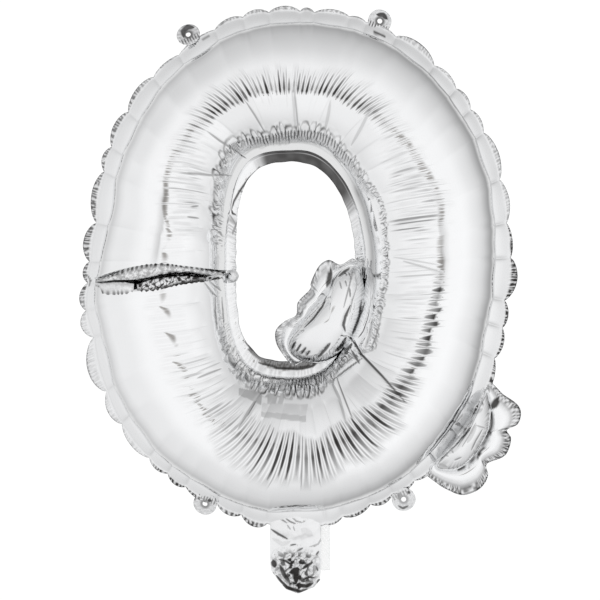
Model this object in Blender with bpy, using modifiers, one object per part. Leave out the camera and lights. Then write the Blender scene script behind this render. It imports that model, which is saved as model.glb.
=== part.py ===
"""Letter foil balloon: a capital Q in silver metallised film, filled with air.

The letter is a hollow tube bent almost into a ring, whose two ends meet at a weld on its left. It is made
of a front and a back film panel, welded together round the outside and round the hole, with a flat margin
inside the hole's weld and a puffed, scalloped brim past the outer one. The tail of the letter is two small
pillows, one inside the hole and one outside the ring. Four round tabs carry the hanging holes, and the flat
filling neck hangs below with its clear valve film.

Frame: metres, +Z up, +X to the reader's right. The front faces -Y, and the welds lie in the plane y = 0.
The origin is midway between the two upper hanging holes. The real film is 0.03 mm thick: each panel stands
here as a wall of about 1 mm, each flat margin as a plate of 0.6 mm, and the puffed brim as one solid.
"""

import math

import bmesh
import bpy
from mathutils import Matrix, Vector

MM = 0.001

# The ring: its centre, and how far the outer weld and the edge of the hole lie from it
CENTRE_X = 0.0082
CENTRE_Z = -0.1625
OUTER_WELD_REACH = {"right": 0.1355, "top": 0.1658, "left": 0.1355, "bottom": 0.1679}
OUTER_FULLNESS = {"right": 2.15, "left": 2.15}
HOLE_EDGE_REACH = {"right": 0.0405, "top": 0.0712, "left": 0.0409, "bottom": 0.0684}
HOLE_FULLNESS = {"right": 2.1, "left": 3.4}
TUBE_HALF_DEPTH = 0.0378
TUBE_ROUNDNESS = 0.97

# The weld across the tube, on the left, where its two ends meet
SPLIT_ANGLE = math.radians(184.5)
SPLIT_HALF_ANGLE = math.radians(1.1)
SPLIT_ROUNDING = math.radians(10.0)

# The crease between the tube and its brim, by angle in degrees: mm past the outer weld
CREASE_OFFSET = [
    (0, 0.6), (12, 1.6), (24, 3.4), (36, 3.2), (48, 1.6), (60, 1.6), (75, 1.0), (90, 0.2), (103, -0.6),
    (114, -3.0), (127, -3.0), (140, -4.6), (154, -5.0), (165, -6.4), (176, -2.4), (190, 3.2), (200, 1.2),
    (214, 2.6), (230, 1.0), (246, -1.8), (266, 0.0), (285, -1.8), (300, -1.6), (325, 0.0), (340, -2.0),
]
# Where the tube's crest lies, by angle in degrees, between the hole's weld, 0, and the crease, 1
CREST_SHARE = [
    (0, 0.56), (22, 0.58), (45, 0.53), (60, 0.49), (90, 0.465), (118, 0.49), (128, 0.54), (142, 0.57),
    (155, 0.545), (173, 0.50), (215, 0.50), (250, 0.52), (270, 0.54), (295, 0.56), (310, 0.56), (320, 0.52),
    (337, 0.525), (350, 0.56),
]
# The notches of the brim: angle in degrees, the brim's edge in mm past the outer weld, and how far the
# welded edge stands past it in the middle of the scallop that follows
RIM_NOTCHES = [
    (2.3, 10.2, 1.8), (11.7, 9.0, 3.2), (23.1, 9.5, 4.0), (35.5, 9.8, 2.0), (42.0, 9.2, 2.2),
    (48.0, 9.1, 2.0), (55.5, 8.0, 4.6), (66.5, 7.8, 1.4), (74.0, 8.0, 1.0), (78.0, 8.4, 2.2),
    (85.9, 7.3, 2.2), (89.1, 7.6, 3.0), (96.1, 7.8, 2.6), (102.0, 7.8, 2.4), (108.9, 6.2, 1.0),
    (119.0, 4.0, 1.2), (127.0, 4.6, 3.6), (137.4, 4.2, 4.2), (147.1, 3.8, 3.4), (153.7, 3.2, 5.0),
    (167.7, 1.6, 5.6), (178.6, 4.6, 3.4), (184.5, 6.0, 4.4), (191.8, 8.6, 5.4), (199.3, 6.2, 8.0),
    (213.4, 8.0, 4.4), (222.1, 8.4, 3.2), (232.5, 6.6, 2.2), (238.2, 5.0, 2.6), (243.4, 4.4, 2.4),
    (251.5, 3.6, 3.2), (257.6, 5.2, 4.2), (263.6, 7.8, 1.6), (276.6, 8.4, 1.6), (280.6, 5.2, 2.6),
    (287.4, 3.0, 2.8), (293.0, 3.4, 2.0), (299.0, 4.4, 2.0), (306.0, 6.0, 2.2), (314.0, 6.4, 2.0),
    (322.0, 6.6, 3.4), (335.2, 6.9, 2.6), (343.5, 7.8, 2.6), (350.8, 6.9, 5.6),
]
# The brim's half thickness at the crease, half way out and at its edge. The welded edge is a flat plate
BRIM_HALF_AT_CREASE = 0.0052
BRIM_HALF_MIDWAY = 0.0027
BRIM_HALF_AT_EDGE = 0.0009
# How far the brim's edge bows out between two notches, and how round its scallops are
BRIM_BULGE = 0.0009
BULGE_ROUNDNESS = 0.7
SCALLOP_ROUNDNESS = 0.6
# The brim lies flat under the outer tail, between these angles in degrees
FLAT_BRIM_FROM = 298.0
FLAT_BRIM_TO = 333.0

# Film walls and flat margins. A panel's outer surface ends at one height at the hole's weld and at
# another at the crease
FILM_WALL = 0.0010
PLATE_HALF = 0.0003
GAP = 0.0003
PANEL_RIM_Y = 0.0014
CREASE_Y = 0.0055
BRIM_GAP = 0.0006
INNER_MARGIN = 0.0062
MARGIN_CLAMP = 0.0025
HOLE_PUFF_COUNT = 30
HOLE_PUFF_HEIGHT = 0.0008

# Hanging tabs: the centres of their holes, as x and z
TAB_RADIUS = 0.0080
TAB_HOLE_RADIUS = 0.0017
TAB_NOTCH_DEPTH = 0.0300
TAB_CENTRES = {
    "hang_tab_top_left": (-0.0652, -0.0046),
    "hang_tab_top_right": (0.0652, 0.0046),
    "hang_tab_bottom_left": (-0.0538, -0.3240),
    "hang_tab_bottom_right": (0.0815, -0.3210),
}

# The tail's two pillows: outlines of the air-filled part and of the margin round it, as x and z
TAIL_INNER_HALF_DEPTH = 0.0165
TAIL_INNER_CENTRE = (0.0305, -0.1985)
TAIL_INNER_PILLOW = [
    (0.0415, -0.1632), (0.0345, -0.1690), (0.0300, -0.1808), (0.0185, -0.1930), (0.0096, -0.2040),
    (0.0030, -0.2130), (0.0036, -0.2215), (0.0130, -0.2275), (0.0262, -0.2262), (0.0372, -0.2170),
    (0.0462, -0.2040), (0.0500, -0.1890), (0.0510, -0.1740), (0.0480, -0.1645),
]
TAIL_INNER_EDGE = [
    (0.0470, -0.1570), (0.0385, -0.1612), (0.0306, -0.1580), (0.0238, -0.1622), (0.0184, -0.1730),
    (0.0176, -0.1780), (0.0095, -0.1868), (0.0082, -0.1955), (0.0007, -0.1996), (-0.0055, -0.2058),
    (-0.0055, -0.2140), (-0.0014, -0.2215), (0.0060, -0.2300),
]
TAIL_OUTER_HALF_DEPTH = 0.0140
TAIL_OUTER_CENTRE = (0.1235, -0.2775)
TAIL_OUTER_PILLOW = [
    (0.1385, -0.2480), (0.1408, -0.2610), (0.1395, -0.2735), (0.1335, -0.2850), (0.1262, -0.2950),
    (0.1170, -0.3010), (0.1050, -0.3005), (0.1035, -0.2952), (0.1130, -0.2840), (0.1215, -0.2740),
    (0.1290, -0.2630), (0.1345, -0.2520),
]
TAIL_OUTER_EDGE = [
    (0.1400, -0.2415), (0.1491, -0.2493), (0.1585, -0.2560), (0.1614, -0.2623), (0.1590, -0.2700),
    (0.1519, -0.2738), (0.1546, -0.2793), (0.1530, -0.2870), (0.1491, -0.2922), (0.1382, -0.2970),
    (0.1390, -0.3045), (0.1360, -0.3110), (0.1308, -0.3154), (0.1212, -0.3181), (0.1117, -0.3147),
    (0.1040, -0.3100), (0.0967, -0.3030),
]

# The filling neck: outline of its two foil plies and of the clear film between them, as x and z
NECK_PLY_HALF = 0.00025
NECK_OUTLINE = [
    (-0.0095, -0.3314), (-0.0095, -0.3603), (-0.0088, -0.3692), (-0.0041, -0.3760), (0.0014, -0.3821),
    (0.0095, -0.3848), (0.0204, -0.3807), (0.0245, -0.3760), (0.0252, -0.3658), (0.0252, -0.3314),
]
VALVE_OUTLINE = [(-0.0060, -0.3330), (-0.0060, -0.3700), (0.0313, -0.3694), (0.0313, -0.3330)]

# How finely the curved shapes are divided. The tube's sections stand closer together at its two ends
RING_STEPS = 96
SECTION_STEPS = 10
END_GATHERING = 0.55
STEPS_PER_PUFF = 4
SCALLOP_SHARES = (0.0, 0.12, 0.36, 0.64, 0.88)
PILLOW_STEPS = 24
PILLOW_RINGS = 10
CIRCLE_STEPS = 24
RIM_CUTTER_HALF = 0.0040

SILVER = (0.86, 0.87, 0.88, 1.0)
CLEAR = (0.92, 0.93, 0.93, 1.0)


def clear_scene():
    for old in list(bpy.data.objects):
        bpy.data.objects.remove(old, do_unlink=True)


def make_collection(name):
    collection = bpy.data.collections.new(name)
    bpy.context.scene.collection.children.link(collection)
    return collection


def make_material(name, colour, roughness, metallic):
    material = bpy.data.materials.new(name)
    material.use_nodes = True
    shader = material.node_tree.nodes["Principled BSDF"]
    shader.inputs["Base Color"].default_value = colour
    shader.inputs["Roughness"].default_value = roughness
    shader.inputs["Metallic"].default_value = metallic
    return material


def oval_radius(angle, reach, fullness):
    """Distance from the ring's centre to an oval that is fuller than an ellipse."""
    sideways = math.cos(angle)
    upward = math.sin(angle)
    side = "right" if sideways >= 0.0 else "left"
    end = "top" if upward >= 0.0 else "bottom"
    power = fullness[side]
    return (abs(sideways / reach[side]) ** power + abs(upward / reach[end]) ** power) ** (-1.0 / power)


def outer_weld(angle):
    return oval_radius(angle, OUTER_WELD_REACH, OUTER_FULLNESS)


def inner_weld(angle):
    return oval_radius(angle, HOLE_EDGE_REACH, HOLE_FULLNESS) + INNER_MARGIN


def by_angle(angle, knots):
    """A value that runs smoothly once round through its knots of angle and value."""
    degrees = math.degrees(angle) % 360.0
    run = [(knots[-1][0] - 360.0, knots[-1][1])] + knots + [(knots[0][0] + 360.0, knots[0][1])]
    for (first, low), (second, high) in zip(run, run[1:]):
        if first <= degrees <= second:
            share = (degrees - first) / (second - first)
            share = share * share * (3.0 - 2.0 * share)
            return low + (high - low) * share
    return knots[0][1]


def crease_radius(angle):
    """Where the tube meets its brim."""
    return outer_weld(angle) + by_angle(angle, CREASE_OFFSET) * MM


def ring_point(angle, radius):
    """A point of the seam plane, as x and z."""
    return CENTRE_X + radius * math.cos(angle), CENTRE_Z + radius * math.sin(angle)


def puffs(angle, count, height):
    """The margin stands out in rounded puffs with narrow notches between them."""
    return height * (abs(math.sin(0.5 * count * angle)) ** 0.6 - 0.6)


def brim_section(notch, following, share):
    """One section of the brim: its angle, and the distances of its edge and of its welded edge."""
    turned = (following[0] - notch[0]) % 360.0
    angle = math.radians(notch[0] + turned * share)
    bulge = math.sin(math.pi * share)
    past_weld = notch[1] + (following[1] - notch[1]) * share
    edge = outer_weld(angle) + past_weld * MM + BRIM_BULGE * bulge ** BULGE_ROUNDNESS
    return angle, edge, edge + GAP + notch[2] * MM * bulge ** SCALLOP_ROUNDNESS


def brim_sections():
    """Sections of the brim once round, close together at the notches."""
    followers = RIM_NOTCHES[1:] + RIM_NOTCHES[:1]
    return [brim_section(notch, following, share)
            for notch, following in zip(RIM_NOTCHES, followers) for share in SCALLOP_SHARES]


def hole_edge(angle):
    return inner_weld(angle) - INNER_MARGIN + puffs(angle, HOLE_PUFF_COUNT, HOLE_PUFF_HEIGHT)


def turn(steps):
    """Angles once round, evenly spaced."""
    return [2.0 * math.pi * step / steps for step in range(steps)]


def link(name, data, collection, material):
    data.materials.append(material)
    piece = bpy.data.objects.new(name, data)
    collection.objects.link(piece)
    return piece


def flat_plate(name, outlines, half_thickness, middle_y, collection, material):
    """A plate in the seam's direction, from closed outlines of x and z. The ones inside are holes."""
    outline = bpy.data.curves.new(name, "CURVE")
    outline.dimensions = "2D"
    outline.fill_mode = "BOTH"
    outline.extrude = half_thickness
    for points in outlines:
        spline = outline.splines.new("POLY")
        spline.points.add(len(points) - 1)
        spline.use_cyclic_u = True
        for point, (x, z) in zip(spline.points, points):
            point.co = (x, z, 0.0, 1.0)
    plate = link(name, outline, collection, material)
    plate.location = (0.0, middle_y, 0.0)
    plate.rotation_euler = (math.radians(90.0), 0.0, 0.0)
    return plate


def made_mesh(plate):
    """Turns a plate from a curve into a mesh, so that it can be cut."""
    bpy.context.view_layer.update()
    evaluated = plate.evaluated_get(bpy.context.evaluated_depsgraph_get())
    mesh = bpy.data.meshes.new_from_object(evaluated)
    shape = bmesh.new()
    shape.from_mesh(mesh)
    bmesh.ops.remove_doubles(shape, verts=shape.verts, dist=0.00001)
    bmesh.ops.recalc_face_normals(shape, faces=shape.faces)
    shape.to_mesh(mesh)
    shape.free()
    name = plate.name
    collection = plate.users_collection[0]
    placed = plate.matrix_world.copy()
    bpy.data.objects.remove(plate, do_unlink=True)
    piece = bpy.data.objects.new(name, mesh)
    piece.matrix_world = placed
    collection.objects.link(piece)
    return piece


def make_cutter(piece):
    piece.hide_render = True
    piece.display_type = "WIRE"
    return piece


def cut(piece, cutter):
    modifier = piece.modifiers.new("cut_by_" + cutter.name, "BOOLEAN")
    modifier.operation = "DIFFERENCE"
    modifier.solver = "EXACT"
    modifier.object = cutter


def thicken(piece):
    """Gives a panel its wall, inwards from the outer surface."""
    wall = piece.modifiers.new("film_wall", "SOLIDIFY")
    wall.thickness = FILM_WALL
    wall.offset = -1.0


def finish_panel(name, shape, side, collection, material):
    """Turns a panel's surface into its object, with the faces pointing away from the seam."""
    bmesh.ops.recalc_face_normals(shape, faces=shape.faces)
    middle = max(shape.faces, key=lambda face: abs(face.calc_center_median().y))
    if middle.normal.y * side < 0.0:
        bmesh.ops.reverse_faces(shape, faces=shape.faces)
    mesh = bpy.data.meshes.new(name)
    shape.to_mesh(mesh)
    shape.free()
    mesh.shade_smooth()
    piece = link(name, mesh, collection, material)
    thicken(piece)
    return piece


def tube_share(angle, across):
    """How far out a point of the tube's section lies, so that the crest comes where it belongs."""
    even = 0.5 - 0.5 * math.cos(math.pi * across)
    return even + 4.0 * (by_angle(angle, CREST_SHARE) - 0.5) * even * (1.0 - even)


def split_taper(angle_from_end):
    """Both ends of the tube close in a round shoulder at the split."""
    share = min(angle_from_end / SPLIT_ROUNDING, 1.0)
    return math.sqrt(max(0.0, 1.0 - (1.0 - share) ** 2))


def ring_panel(name, side, collection, material):
    """One panel of the tube: side is -1 for the front and +1 for the back."""
    first = SPLIT_ANGLE + SPLIT_HALF_ANGLE
    span = 2.0 * math.pi - 2.0 * SPLIT_HALF_ANGLE
    shape = bmesh.new()
    bmesh.ops.create_grid(shape, x_segments=RING_STEPS, y_segments=SECTION_STEPS, size=0.5)
    for vert in shape.verts:
        along = vert.co.x + 0.5
        across = vert.co.y + 0.5
        gathered = along - END_GATHERING * math.sin(2.0 * math.pi * along) / (2.0 * math.pi)
        turned = span * gathered
        angle = first + turned
        share = tube_share(angle, across)
        radius = inner_weld(angle) + share * (crease_radius(angle) - inner_weld(angle))
        height = TUBE_HALF_DEPTH * math.sin(math.pi * across) ** TUBE_ROUNDNESS
        height += (CREASE_Y - PANEL_RIM_Y) * share ** 2
        height *= split_taper(min(turned, span - turned))
        x, z = ring_point(angle, radius)
        vert.co = Vector((x, side * (PANEL_RIM_Y + height), z))
    return finish_panel(name, shape, side, collection, material)


def reach_of(outline, centre, angle):
    """How far a closed outline lies from a centre inside it, in one direction."""
    direction = Vector((math.cos(angle), math.sin(angle)))
    origin = Vector(centre)
    reach = 0.0
    for first, second in zip(outline, outline[1:] + outline[:1]):
        start = Vector(first) - origin
        edge = Vector(second) - Vector(first)
        crossing = direction.x * edge.y - direction.y * edge.x
        if abs(crossing) < 1e-12:
            continue
        distance = (start.x * edge.y - start.y * edge.x) / crossing
        place = (start.x * direction.y - start.y * direction.x) / crossing
        if distance > 0.0 and -1e-9 <= place <= 1.0 + 1e-9:
            reach = max(reach, distance)
    return reach


def pillow_panel(name, outline, centre, half_depth, side, collection, material):
    """One panel of a tail pillow: half a ball, drawn out to the pillow's outline."""
    shape = bmesh.new()
    bmesh.ops.create_uvsphere(shape, u_segments=PILLOW_STEPS, v_segments=PILLOW_RINGS, radius=1.0)
    below = [vert for vert in shape.verts if vert.co.z < -0.001]
    bmesh.ops.delete(shape, geom=below, context="VERTS")
    for vert in shape.verts:
        angle = math.atan2(vert.co.y, vert.co.x)
        share = math.hypot(vert.co.x, vert.co.y)
        reach = reach_of(outline, centre, angle) * share
        x = centre[0] + reach * math.cos(angle)
        z = centre[1] + reach * math.sin(angle)
        vert.co = Vector((x, side * (PANEL_RIM_Y + half_depth * max(vert.co.z, 0.0)), z))
    return finish_panel(name, shape, side, collection, material)


def brim_outline(angle, edge, welded_edge):
    """The brim's outline at one section: distances from the ring's centre and heights."""
    start = crease_radius(angle) + BRIM_GAP
    lies_flat = FLAT_BRIM_FROM <= math.degrees(angle) <= FLAT_BRIM_TO
    midway = PLATE_HALF if lies_flat else BRIM_HALF_MIDWAY
    at_edge = PLATE_HALF if lies_flat else BRIM_HALF_AT_EDGE
    front = [
        (start, BRIM_HALF_AT_CREASE), (0.5 * (start + edge), midway), (edge, at_edge),
        (welded_edge, PLATE_HALF)]
    return front + [(distance, -height) for distance, height in reversed(front)]


def make_outer_margin(collection, cutters, material):
    """The puffed brim past the outer weld, in scallops, cut round for the four tabs."""
    sections = brim_sections()
    outlines = [brim_outline(*section) for section in sections]
    shape = bmesh.new()
    bmesh.ops.create_grid(shape, x_segments=len(sections), y_segments=len(outlines[0]), size=0.5)
    for vert in shape.verts:
        step = round((vert.co.x + 0.5) * len(sections)) % len(sections)
        corner = round((vert.co.y + 0.5) * len(outlines[0])) % len(outlines[0])
        distance, height = outlines[step][corner]
        x, z = ring_point(sections[step][0], distance)
        vert.co = Vector((x, height, z))
    bmesh.ops.remove_doubles(shape, verts=shape.verts, dist=0.00001)
    bmesh.ops.recalc_face_normals(shape, faces=shape.faces)
    mesh = bpy.data.meshes.new("outer_seam_margin")
    shape.to_mesh(mesh)
    shape.free()
    margin = link("outer_seam_margin", mesh, collection, material)
    shape = bmesh.new()
    for x, z in TAB_CENTRES.values():
        disc = bmesh.ops.create_cone(
            shape, cap_ends=True, segments=CIRCLE_STEPS, radius1=TAB_RADIUS + GAP,
            radius2=TAB_RADIUS + GAP, depth=TAB_NOTCH_DEPTH)
        upright = Matrix.Rotation(math.radians(90.0), 3, "X")
        bmesh.ops.rotate(shape, verts=disc["verts"], cent=(0.0, 0.0, 0.0), matrix=upright)
        bmesh.ops.translate(shape, verts=disc["verts"], vec=(x, 0.0, z))
    mesh = bpy.data.meshes.new("tab_notch_cutter")
    shape.to_mesh(mesh)
    shape.free()
    notches = bpy.data.objects.new("tab_notch_cutter", mesh)
    cutters.objects.link(notches)
    cut(margin, make_cutter(notches))
    return margin


def make_inner_margin(collection, material):
    """The welded margin round the hole."""
    steps = HOLE_PUFF_COUNT * STEPS_PER_PUFF
    outside = [ring_point(angle, inner_weld(angle) + MARGIN_CLAMP) for angle in turn(steps)]
    inside = [ring_point(angle, hole_edge(angle)) for angle in turn(steps)]
    return flat_plate("inner_seam_margin", [outside, inside], PLATE_HALF, 0.0, collection, material)


def make_split_web(collection, material):
    """The weld across the tube, between its two ends."""
    clear = MARGIN_CLAMP + 2.0 * GAP
    outline = []
    for weld, inset, sign in (
            (inner_weld, clear, -1.0), (crease_radius, -GAP, -1.0),
            (crease_radius, -GAP, 1.0), (inner_weld, clear, 1.0)):
        half_angle = SPLIT_HALF_ANGLE + MARGIN_CLAMP / weld(SPLIT_ANGLE)
        angle = SPLIT_ANGLE + sign * half_angle
        outline.append(ring_point(angle, weld(angle) + inset))
    return flat_plate("split_weld_web", [outline], PLATE_HALF, 0.0, collection, material)


def make_hang_tab(name, collection, material):
    """A round tab with its punched hole."""
    x, z = TAB_CENTRES[name]
    rim = [(x + TAB_RADIUS * math.cos(angle), z + TAB_RADIUS * math.sin(angle)) for angle in turn(CIRCLE_STEPS)]
    hole = [
        (x + TAB_HOLE_RADIUS * math.cos(angle), z + TAB_HOLE_RADIUS * math.sin(angle))
        for angle in turn(CIRCLE_STEPS)]
    return flat_plate(name, [rim, hole], PLATE_HALF, 0.0, collection, material)


def rim_cutter(cutters, material):
    """The letter's outer margin with the clearance round it, to part what butts against its edge."""
    outline = [ring_point(angle, welded_edge + GAP) for angle, edge, welded_edge in brim_sections()]
    return make_cutter(made_mesh(flat_plate("rim_cutter", [outline], RIM_CUTTER_HALF, 0.0, cutters, material)))


def hole_rim_cutter(cutters, material):
    """The hole's margin with the clearance round it, to part the inner tail margin."""
    steps = HOLE_PUFF_COUNT * STEPS_PER_PUFF
    outside = [ring_point(angle, inner_weld(angle) + 3.0 * INNER_MARGIN) for angle in turn(steps)]
    inside = [ring_point(angle, hole_edge(angle) - GAP) for angle in turn(steps)]
    plate = flat_plate("hole_rim_cutter", [outside, inside], RIM_CUTTER_HALF, 0.0, cutters, material)
    return make_cutter(made_mesh(plate))


def shrunk(outline, centre, inset):
    """An outline drawn in towards a centre by one distance."""
    drawn = []
    for x, z in outline:
        away = Vector((x - centre[0], z - centre[1]))
        away *= (away.length - inset) / away.length
        drawn.append((centre[0] + away.x, centre[1] + away.y))
    return drawn


def make_tail_inner(collection, cutters, panel_film, margin_film):
    """The pillow inside the hole, and the puffed margin on its free side."""
    for name, side in (("tail_inner_front_panel", -1.0), ("tail_inner_back_panel", 1.0)):
        pillow_panel(name, TAIL_INNER_PILLOW, TAIL_INNER_CENTRE, TAIL_INNER_HALF_DEPTH, side,
                     collection, panel_film)
    inside = shrunk(TAIL_INNER_PILLOW[:8], TAIL_INNER_CENTRE, MARGIN_CLAMP)
    outline = TAIL_INNER_EDGE + inside[::-1]
    plate = flat_plate("tail_inner_margin", [outline], PLATE_HALF, 0.0, collection, margin_film)
    cut(made_mesh(plate), hole_rim_cutter(cutters, margin_film))


def make_tail_outer(collection, rim, panel_film, margin_film):
    """The pillow outside the ring, and the puffed margin round it."""
    for name, side in (("tail_outer_front_panel", -1.0), ("tail_outer_back_panel", 1.0)):
        pillow_panel(name, TAIL_OUTER_PILLOW, TAIL_OUTER_CENTRE, TAIL_OUTER_HALF_DEPTH, side,
                     collection, panel_film)
    inside = shrunk(TAIL_OUTER_PILLOW[:7], TAIL_OUTER_CENTRE, MARGIN_CLAMP)
    outline = TAIL_OUTER_EDGE + inside[::-1]
    plate = flat_plate("tail_outer_margin", [outline], PLATE_HALF, 0.0, collection, margin_film)
    cut(made_mesh(plate), rim)


def make_neck(collection, rim, neck_film, clear_film):
    """The filling neck: a front and a back ply, with the clear valve film between them."""
    ply_y = PLATE_HALF + GAP + NECK_PLY_HALF
    for name, side in (("neck_front_ply", -1.0), ("neck_back_ply", 1.0)):
        ply = flat_plate(name, [NECK_OUTLINE], NECK_PLY_HALF, side * ply_y, collection, neck_film)
        cut(made_mesh(ply), rim)
    film = flat_plate("neck_valve_film", [VALVE_OUTLINE], PLATE_HALF, 0.0, collection, clear_film)
    cut(made_mesh(film), rim)


def build():
    clear_scene()
    balloon = make_collection("letter_foil_balloon")
    cutters = make_collection("cutters")
    panel_film = make_material("silver_panel_film", SILVER, 0.10, 1.0)
    margin_film = make_material("silver_margin_film", SILVER, 0.18, 1.0)
    neck_film = make_material("silver_neck_film", SILVER, 0.22, 1.0)
    clear_film = make_material("clear_valve_film", CLEAR, 0.08, 0.0)
    ring_panel("ring_front_panel", -1.0, balloon, panel_film)
    ring_panel("ring_back_panel", 1.0, balloon, panel_film)
    make_outer_margin(balloon, cutters, margin_film)
    make_inner_margin(balloon, margin_film)
    make_split_web(balloon, margin_film)
    for name in TAB_CENTRES:
        make_hang_tab(name, balloon, margin_film)
    rim = rim_cutter(cutters, margin_film)
    make_tail_inner(balloon, cutters, panel_film, margin_film)
    make_tail_outer(balloon, rim, panel_film, margin_film)
    make_neck(balloon, rim, neck_film, clear_film)


build()
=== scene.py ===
"""Letter foil balloon, the letter Q: the looks of the silver film, its welds, pleats and crinkles.

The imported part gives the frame. Each film piece here is a bmesh grid that is drawn over the balloon's own
form: a tube bent into a ring, two tail pillows, the puffed brim round them, the tabs and the filling neck.
Lengths are in metres and angles in degrees, counted from the reader's right and upwards.
"""
import math

import bmesh
import bpy
import numpy as np
from mathutils import Matrix


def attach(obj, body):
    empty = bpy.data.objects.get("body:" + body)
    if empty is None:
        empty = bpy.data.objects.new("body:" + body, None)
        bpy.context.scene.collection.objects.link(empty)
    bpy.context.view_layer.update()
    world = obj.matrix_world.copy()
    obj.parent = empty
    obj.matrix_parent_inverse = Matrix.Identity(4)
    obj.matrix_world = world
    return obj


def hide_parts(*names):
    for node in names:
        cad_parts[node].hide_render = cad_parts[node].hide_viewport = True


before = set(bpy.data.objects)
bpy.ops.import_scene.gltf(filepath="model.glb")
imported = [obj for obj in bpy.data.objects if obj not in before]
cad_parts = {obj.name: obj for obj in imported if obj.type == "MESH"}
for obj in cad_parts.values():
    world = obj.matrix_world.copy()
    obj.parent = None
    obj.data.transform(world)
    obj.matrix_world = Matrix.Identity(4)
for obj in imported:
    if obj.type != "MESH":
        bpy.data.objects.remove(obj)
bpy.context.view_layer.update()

MM = 0.001

# The ring: its centre, and how far the outer weld and the edge of the hole lie from it
CENTRE_X = 0.0082
CENTRE_Z = -0.1625
WELD_REACH = {"right": 0.1355, "top": 0.1658, "left": 0.1355, "bottom": 0.1679}
WELD_FULLNESS = {"right": 2.15, "left": 2.15}
HOLE_REACH = {"right": 0.0405, "top": 0.0712, "left": 0.0409, "bottom": 0.0684}
HOLE_FULLNESS = {"right": 2.1, "left": 3.4}
INNER_MARGIN = 0.0062
TUBE_DEPTH = 0.0378
HOLE_RIM_HEIGHT = 1.4
CREASE_HEIGHT = 5.5

# The split on the left, where the tube's two ends meet
SPLIT_ANGLE = 184.5
SPLIT_HALF_GAP = 0.6
SPLIT_ROUNDING = 4.8

# The crease between the tube and its brim, in mm past the outer weld
CREASE_OFFSET = (
    (0, 0.6), (12, 1.6), (24, 3.4), (36, 3.2), (48, 1.6), (60, 1.6), (75, 1.0), (90, 0.2), (103, -0.6),
    (114, -3.0), (127, -3.0), (140, -4.6), (154, -5.0), (165, -6.4), (176, -2.4), (190, 3.2), (200, 1.2),
    (214, 2.6), (230, 1.0), (246, -1.8), (266, 0.0), (285, -1.8), (300, -1.6), (325, 0.0), (340, -2.0),
)
# The notches of the rim: angle, brim edge in mm past the outer weld, and how far the welded edge
# stands past the brim in the middle of the scallop that follows
RIM_NOTCHES = (
    (2.3, 10.2, 1.8), (11.7, 9.0, 3.2), (23.1, 9.5, 4.0), (35.5, 9.8, 2.0), (42.0, 9.2, 2.2),
    (48.0, 9.1, 2.0), (55.5, 8.0, 4.6), (66.5, 7.8, 1.4), (74.0, 8.0, 1.0), (78.0, 8.4, 2.2),
    (85.9, 7.3, 2.2), (89.1, 7.6, 3.0), (96.1, 7.8, 2.6), (102.0, 7.8, 2.4), (108.9, 6.2, 1.0),
    (119.0, 4.0, 1.2), (127.0, 4.6, 3.6), (137.4, 4.2, 4.2), (147.1, 3.8, 3.4), (153.7, 3.2, 5.0),
    (167.7, 1.6, 5.6), (178.6, 4.6, 3.4), (184.5, 6.0, 4.4), (191.8, 8.6, 5.4), (199.3, 6.2, 8.0),
    (213.4, 8.0, 4.4), (222.1, 8.4, 3.2), (232.5, 6.6, 2.2), (238.2, 5.0, 2.6), (243.4, 4.4, 2.4),
    (251.5, 3.6, 3.2), (257.6, 5.2, 4.2), (263.6, 7.8, 1.6), (276.6, 8.4, 1.6), (280.6, 5.2, 2.6),
    (287.4, 3.0, 2.8), (293.0, 3.4, 2.0), (299.0, 4.4, 2.0), (306.0, 6.0, 2.2), (314.0, 6.4, 2.0),
    (322.0, 6.6, 3.4), (335.2, 6.9, 2.6), (343.5, 7.8, 2.6), (350.8, 6.9, 5.6),
)
BRIM_EDGE_HEIGHT = 0.7
# How sharply the notches pinch the brim
NOTCH_PINCH = ((0, 0.60), (60, 0.65), (95, 0.60), (115, 0.30), (200, 0.30), (230, 0.55))

# Where the tube's crest lies between the hole's weld, 0, and the crease, 1
CREST_SHARE = (
    (0, 0.56), (22, 0.58), (45, 0.53), (60, 0.49), (90, 0.465), (118, 0.49), (128, 0.54), (142, 0.57),
    (155, 0.53), (168, 0.47), (215, 0.47), (250, 0.52), (270, 0.54), (295, 0.56), (310, 0.56), (320, 0.52),
    (337, 0.525), (350, 0.56),
)

# The comb of pleats at the crest: how many there are, and how much closer they stand at the top than at the
# bottom, and at both than at the sides
PLEAT_COUNT = 172
PLEAT_TOP_CROWDING = 4.8
PLEAT_END_CROWDING = 3.8
# By angle: how strong the comb is, how wide its teeth are, how grey it is between them, and the shares where
# they start, are widest and end
# The comb's dark teeth and the grey between them are painted shade and painted dark reflections
PLEAT_STRENGTH = (
    (0, 0.05), (12, 0.03), (20, 0.10), (27, 0.45), (36, 0.25), (50, 0.20), (58, 0.35), (66, 0.80), (75, 0.85),
    (90, 0.90), (105, 0.95), (118, 0.90), (124, 0.55), (130, 0.42), (138, 0.30), (145, 0.08), (150, 0.03),
    (235, 0.03), (240, 0.25), (250, 0.60), (258, 0.95), (275, 1.10), (285, 1.10), (295, 1.15), (303, 1.05),
    (308, 0.75), (315, 0.70), (325, 0.85), (335, 1.10), (345, 1.15), (352, 0.85), (356, 0.20),
)
PLEAT_WIDTH = (
    (20, 0.16), (50, 0.14), (66, 0.24), (110, 0.26), (124, 0.18), (150, 0.14), (235, 0.12), (258, 0.16),
    (275, 0.20), (292, 0.26), (308, 0.28), (325, 0.36), (345, 0.38),
)
PLEAT_GREY = (
    (0, 0.0), (20, 0.06), (50, 0.10), (70, 0.14), (118, 0.16), (150, 0.06), (235, 0.06), (255, 0.24), (275, 0.34),
    (300, 0.32), (312, 0.18), (330, 0.08), (350, 0.03),
)
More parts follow.
